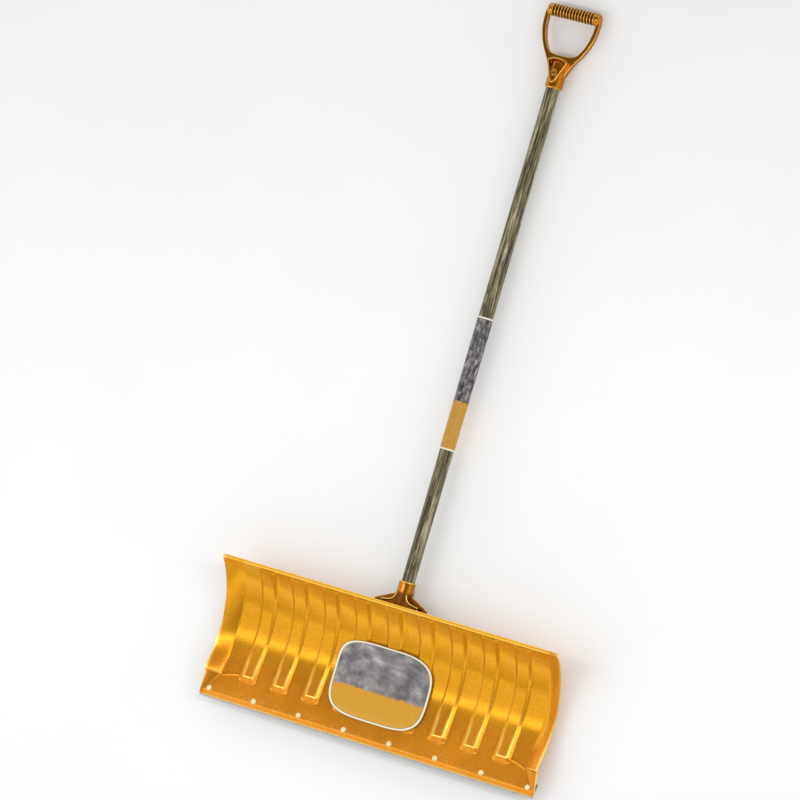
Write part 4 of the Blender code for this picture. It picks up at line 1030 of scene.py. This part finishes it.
def stained_wood():
    """Ash stained olive grey: dark open pores along the grain, pale flecks, a worn satin finish."""
    look = Shades("stained_wood")
    bend = look.noise(6.0, (1.0, 1.0, 0.6), detail=2.0)
    drift = look.add("ShaderNodeVectorMath", operation="SCALE")
    look.feed(drift.inputs[0], look.add("ShaderNodeCombineXYZ", {"X": bend, "Y": bend}).outputs["Vector"])
    drift.inputs["Scale"].default_value = 0.012
    moved = look.add("ShaderNodeVectorMath", operation="ADD")
    look.feed(moved.inputs[0], look.place)
    look.feed(moved.inputs[1], drift.outputs["Vector"])
    place = moved.outputs["Vector"]
    bands = look.noise(230.0, (1.0, 1.0, 0.034), detail=5.0, roughness=0.6, place=place)
    fibres = look.noise(720.0, (1.0, 1.0, 0.055), detail=4.0, roughness=0.65, place=place)
    pores = look.noise(620.0, (1.0, 1.0, 0.055), detail=2.0, place=place)
    base = look.ramp(bands, [(0.39, tint(0.035, 0.028, 0.013)), (0.47, tint(0.120, 0.100, 0.050)),
                             (0.53, tint(0.225, 0.195, 0.102)), (0.61, tint(0.480, 0.435, 0.265))])
    shade = look.ramp(fibres, [(0.40, tint(0.30, 0.28, 0.25)), (0.56, tint(1.10, 1.10, 1.10))])
    base = look.mix(0.8, base, shade, "MULTIPLY")
    dark = look.span(pores, 0.56, 0.64)
    base = look.stain(base, dark, 0.8, tint(0.020, 0.017, 0.010))
    pale = look.span(look.noise(480.0, (1.0, 1.0, 0.05), detail=3.0, place=place), 0.63, 0.72)
    base = look.stain(base, pale, 0.7, tint(0.46, 0.43, 0.33))
    rough = look.span(fibres, 0.3, 0.7, 0.62, 0.44)
    rough = look.roughen(rough, dark, 0.2)
    grain = look.bump(fibres, 0.00010, 0.6)
    open_grain = look.bump(dark, 0.00012, -0.8, grain)
    look.set(Base_Color=base, Roughness=rough, Normal=open_grain, Specular_IOR_Level=0.3)
    return look.material


def badge_print():
    """Plain printed badge: a grey stone field over a gold field, with a cream rim."""
    look = Shades("badge_print")
    printed = look.stored("place", "Vector")
    up, edge = (look.split(printed)[axis] for axis in "YZ")
    rock = look.noise(2.6, (1.0, 1.1, 1.0), detail=9.0, roughness=0.62, place=printed)
    stone = look.ramp(rock, [(0.36, tint(0.11, 0.105, 0.105)), (0.50, tint(0.215, 0.20, 0.20)),
                             (0.60, tint(0.32, 0.30, 0.30)), (0.72, tint(0.55, 0.54, 0.54))])
    grit = look.noise(60.0, detail=3.0, place=printed)
    gold = look.ramp(grit, [(0.35, tint(0.60, 0.28, 0.018)), (0.65, tint(0.72, 0.38, 0.038))])
    wobble = look.span(look.noise(5.0, detail=5.0, place=printed), 0.3, 0.7, -0.04, 0.04)
    ridge = look.work("ADD", up, wobble)
    field = look.mix(look.span(ridge, -0.26, -0.20), gold, stone)
    dark_line = look.span(edge, 0.058, 0.050)
    field = look.mix(dark_line, field, tint(0.16, 0.12, 0.06))
    rim = look.span(edge, 0.048, 0.042)
    field = look.mix(rim, field, tint(0.86, 0.80, 0.62))
    outer = look.span(edge, 0.007, 0.004)
    field = look.mix(outer, field, tint(0.20, 0.15, 0.07))
    fade = look.noise(14.0, detail=4.0)
    rough = look.span(fade, 0.3, 0.7, 0.30, 0.42)
    paper = look.bump(look.noise(500.0, detail=3.0), 0.00004, 0.4)
    look.set(Base_Color=field, Roughness=rough, Normal=paper, Specular_IOR_Level=0.25)
    return look.material


def sleeve_print():
    """Plain printed sleeve: mottled grey over gold, with cream lines at its ends."""
    look = Shades("sleeve_print")
    printed = look.stored("place", "Vector")
    up = look.split(printed)["Y"]
    rock = look.noise(150.0, (1.0, 1.0, 0.45), detail=8.0, roughness=0.68)
    stone = look.ramp(rock, [(0.38, tint(0.022, 0.020, 0.020)), (0.48, tint(0.095, 0.085, 0.085)),
                             (0.58, tint(0.24, 0.225, 0.225)), (0.70, tint(0.60, 0.58, 0.58))])
    grit = look.noise(420.0, detail=3.0)
    gold = look.ramp(grit, [(0.35, tint(0.44, 0.21, 0.024)), (0.65, tint(0.56, 0.31, 0.046))])
    wobble = look.span(look.noise(40.0, detail=4.0), 0.3, 0.7, -0.03, 0.03)
    field = look.mix(look.span(look.work("ADD", up, wobble), 0.345, 0.355), gold, stone)
    middle = look.work("ABSOLUTE", look.work("SUBTRACT", up, 0.5))
    line = look.span(middle, 0.487, 0.489)
    field = look.mix(line, field, tint(0.78, 0.74, 0.60))
    rough = look.span(look.noise(60.0, detail=4.0), 0.3, 0.7, 0.30, 0.44)
    paper = look.bump(look.noise(700.0, (1.0, 1.0, 0.2), detail=3.0), 0.00004, 0.5)
    look.set(Base_Color=field, Roughness=rough, Normal=paper, Specular_IOR_Level=0.25)
    return look.material


def studio_floor():
    look = Shades("studio_floor")
    mottle = look.noise(3.0, detail=4.0)
    base = look.ramp(mottle, [(0.3, tint(0.93, 0.93, 0.925)), (0.7, tint(0.95, 0.95, 0.945))])
    rough = look.span(mottle, 0.3, 0.7, 0.80, 0.90)
    look.set(Base_Color=base, Roughness=rough)
    return look.material


# -------------------- studio
def add_floor(material):
    sheet = bmesh.new()
    bmesh.ops.create_grid(sheet, x_segments=24, y_segments=24, size=FLOOR_HALF)
    for vertex in sheet.verts:
        far = max(0.0, vertex.co.to_2d().length - FLOOR_FLAT)
        vertex.co.z = far * far * FLOOR_SWEEP
    mesh = as_mesh("studio_floor", sheet)
    mesh.shade_smooth()
    mesh.materials.append(material)
    floor = bpy.data.objects.new("studio_floor", mesh)
    show(floor)


def add_softbox(name, place, aim, along, width, length, power):
    lamp = bpy.data.lights.new(name, "AREA")
    lamp.shape = "RECTANGLE"
    lamp.size = width
    lamp.size_y = length
    lamp.energy = power
    back = (Vector(place) - Vector(aim)).normalized()
    up = Vector(along)
    up = (up - up.dot(back) * back).normalized()
    turn = Matrix((up.cross(back), up, back)).transposed().to_4x4()
    holder = bpy.data.objects.new(name, lamp)
    holder.matrix_world = Matrix.Translation(place) @ turn
    show(holder)


def add_sky():
    """Dim overhead, paler towards the horizon."""
    world = bpy.data.worlds.new("studio_air")
    world.use_nodes = True
    nodes = world.node_tree.nodes
    links = world.node_tree.links
    source = nodes.new("ShaderNodeTexCoord")
    split = nodes.new("ShaderNodeSeparateXYZ")
    ramp = nodes.new("ShaderNodeValToRGB")
    ramp.color_ramp.elements[0].position = 0.0
    ramp.color_ramp.elements[0].color = SKY_LOW
    ramp.color_ramp.elements[1].position = 0.8
    ramp.color_ramp.elements[1].color = SKY_HIGH
    links.new(source.outputs["Generated"], split.inputs["Vector"])
    links.new(split.outputs["Z"], ramp.inputs["Fac"])
    links.new(ramp.outputs["Color"], nodes["Background"].inputs["Color"])
    nodes["Background"].inputs["Strength"].default_value = 1.0
    bpy.context.scene.world = world


def add_camera():
    """Seen from above the tool as it lies, from the left of its toe, with the shaft up to the right."""
    yaw, rise, roll = (math.radians(angle) for angle in (VIEW_YAW, VIEW_RISE, VIEW_ROLL))
    ahead = Vector((-math.sin(yaw) * math.cos(rise), math.cos(yaw) * math.cos(rise), -math.sin(rise)))
    right = Vector((math.cos(yaw), math.sin(yaw), 0.0))
    up = right.cross(ahead)
    aim = VIEW_AIM + VIEW_ASIDE * right + VIEW_ABOVE * up
    across = math.cos(roll) * right + math.sin(roll) * up
    above = math.cos(roll) * up - math.sin(roll) * right
    turn = Matrix((across, above, -ahead)).transposed().to_4x4()
    data = bpy.data.cameras.new("view")
    data.sensor_width = 36.0
    data.lens = VIEW_LENS
    data.clip_end = 100.0
    camera = bpy.data.objects.new("view", data)
    camera.matrix_world = TOOL @ Matrix.Translation(aim - ahead * VIEW_DISTANCE) @ turn
    show(camera)
    bpy.context.scene.camera = camera


# -------------------- the scene
add_camera()
add_sky()
add_floor(studio_floor())
for softbox in SOFTBOXES:
    add_softbox(*softbox)
bpy.context.scene.view_settings.view_transform = "Standard"

zinc = shaded_screw_zinc()
fittings = gold_fittings()
add_blade(gold_blade())
add_wear_strip(galvanised_steel())
add_rivets(rivet_metal())
add_shaft(stained_wood())
add_screws(zinc)
moulded_copy("moulded_bracket", "socket_bracket", BRACKET_VOXEL, 3, 0.6, fittings,
             shade_webs)
moulded_copy("moulded_grip", "grip", GRIP_VOXEL, 4, 0.7, fittings,
             carve_ridges)
add_blade_label(badge_print())
add_shaft_label(sleeve_print())
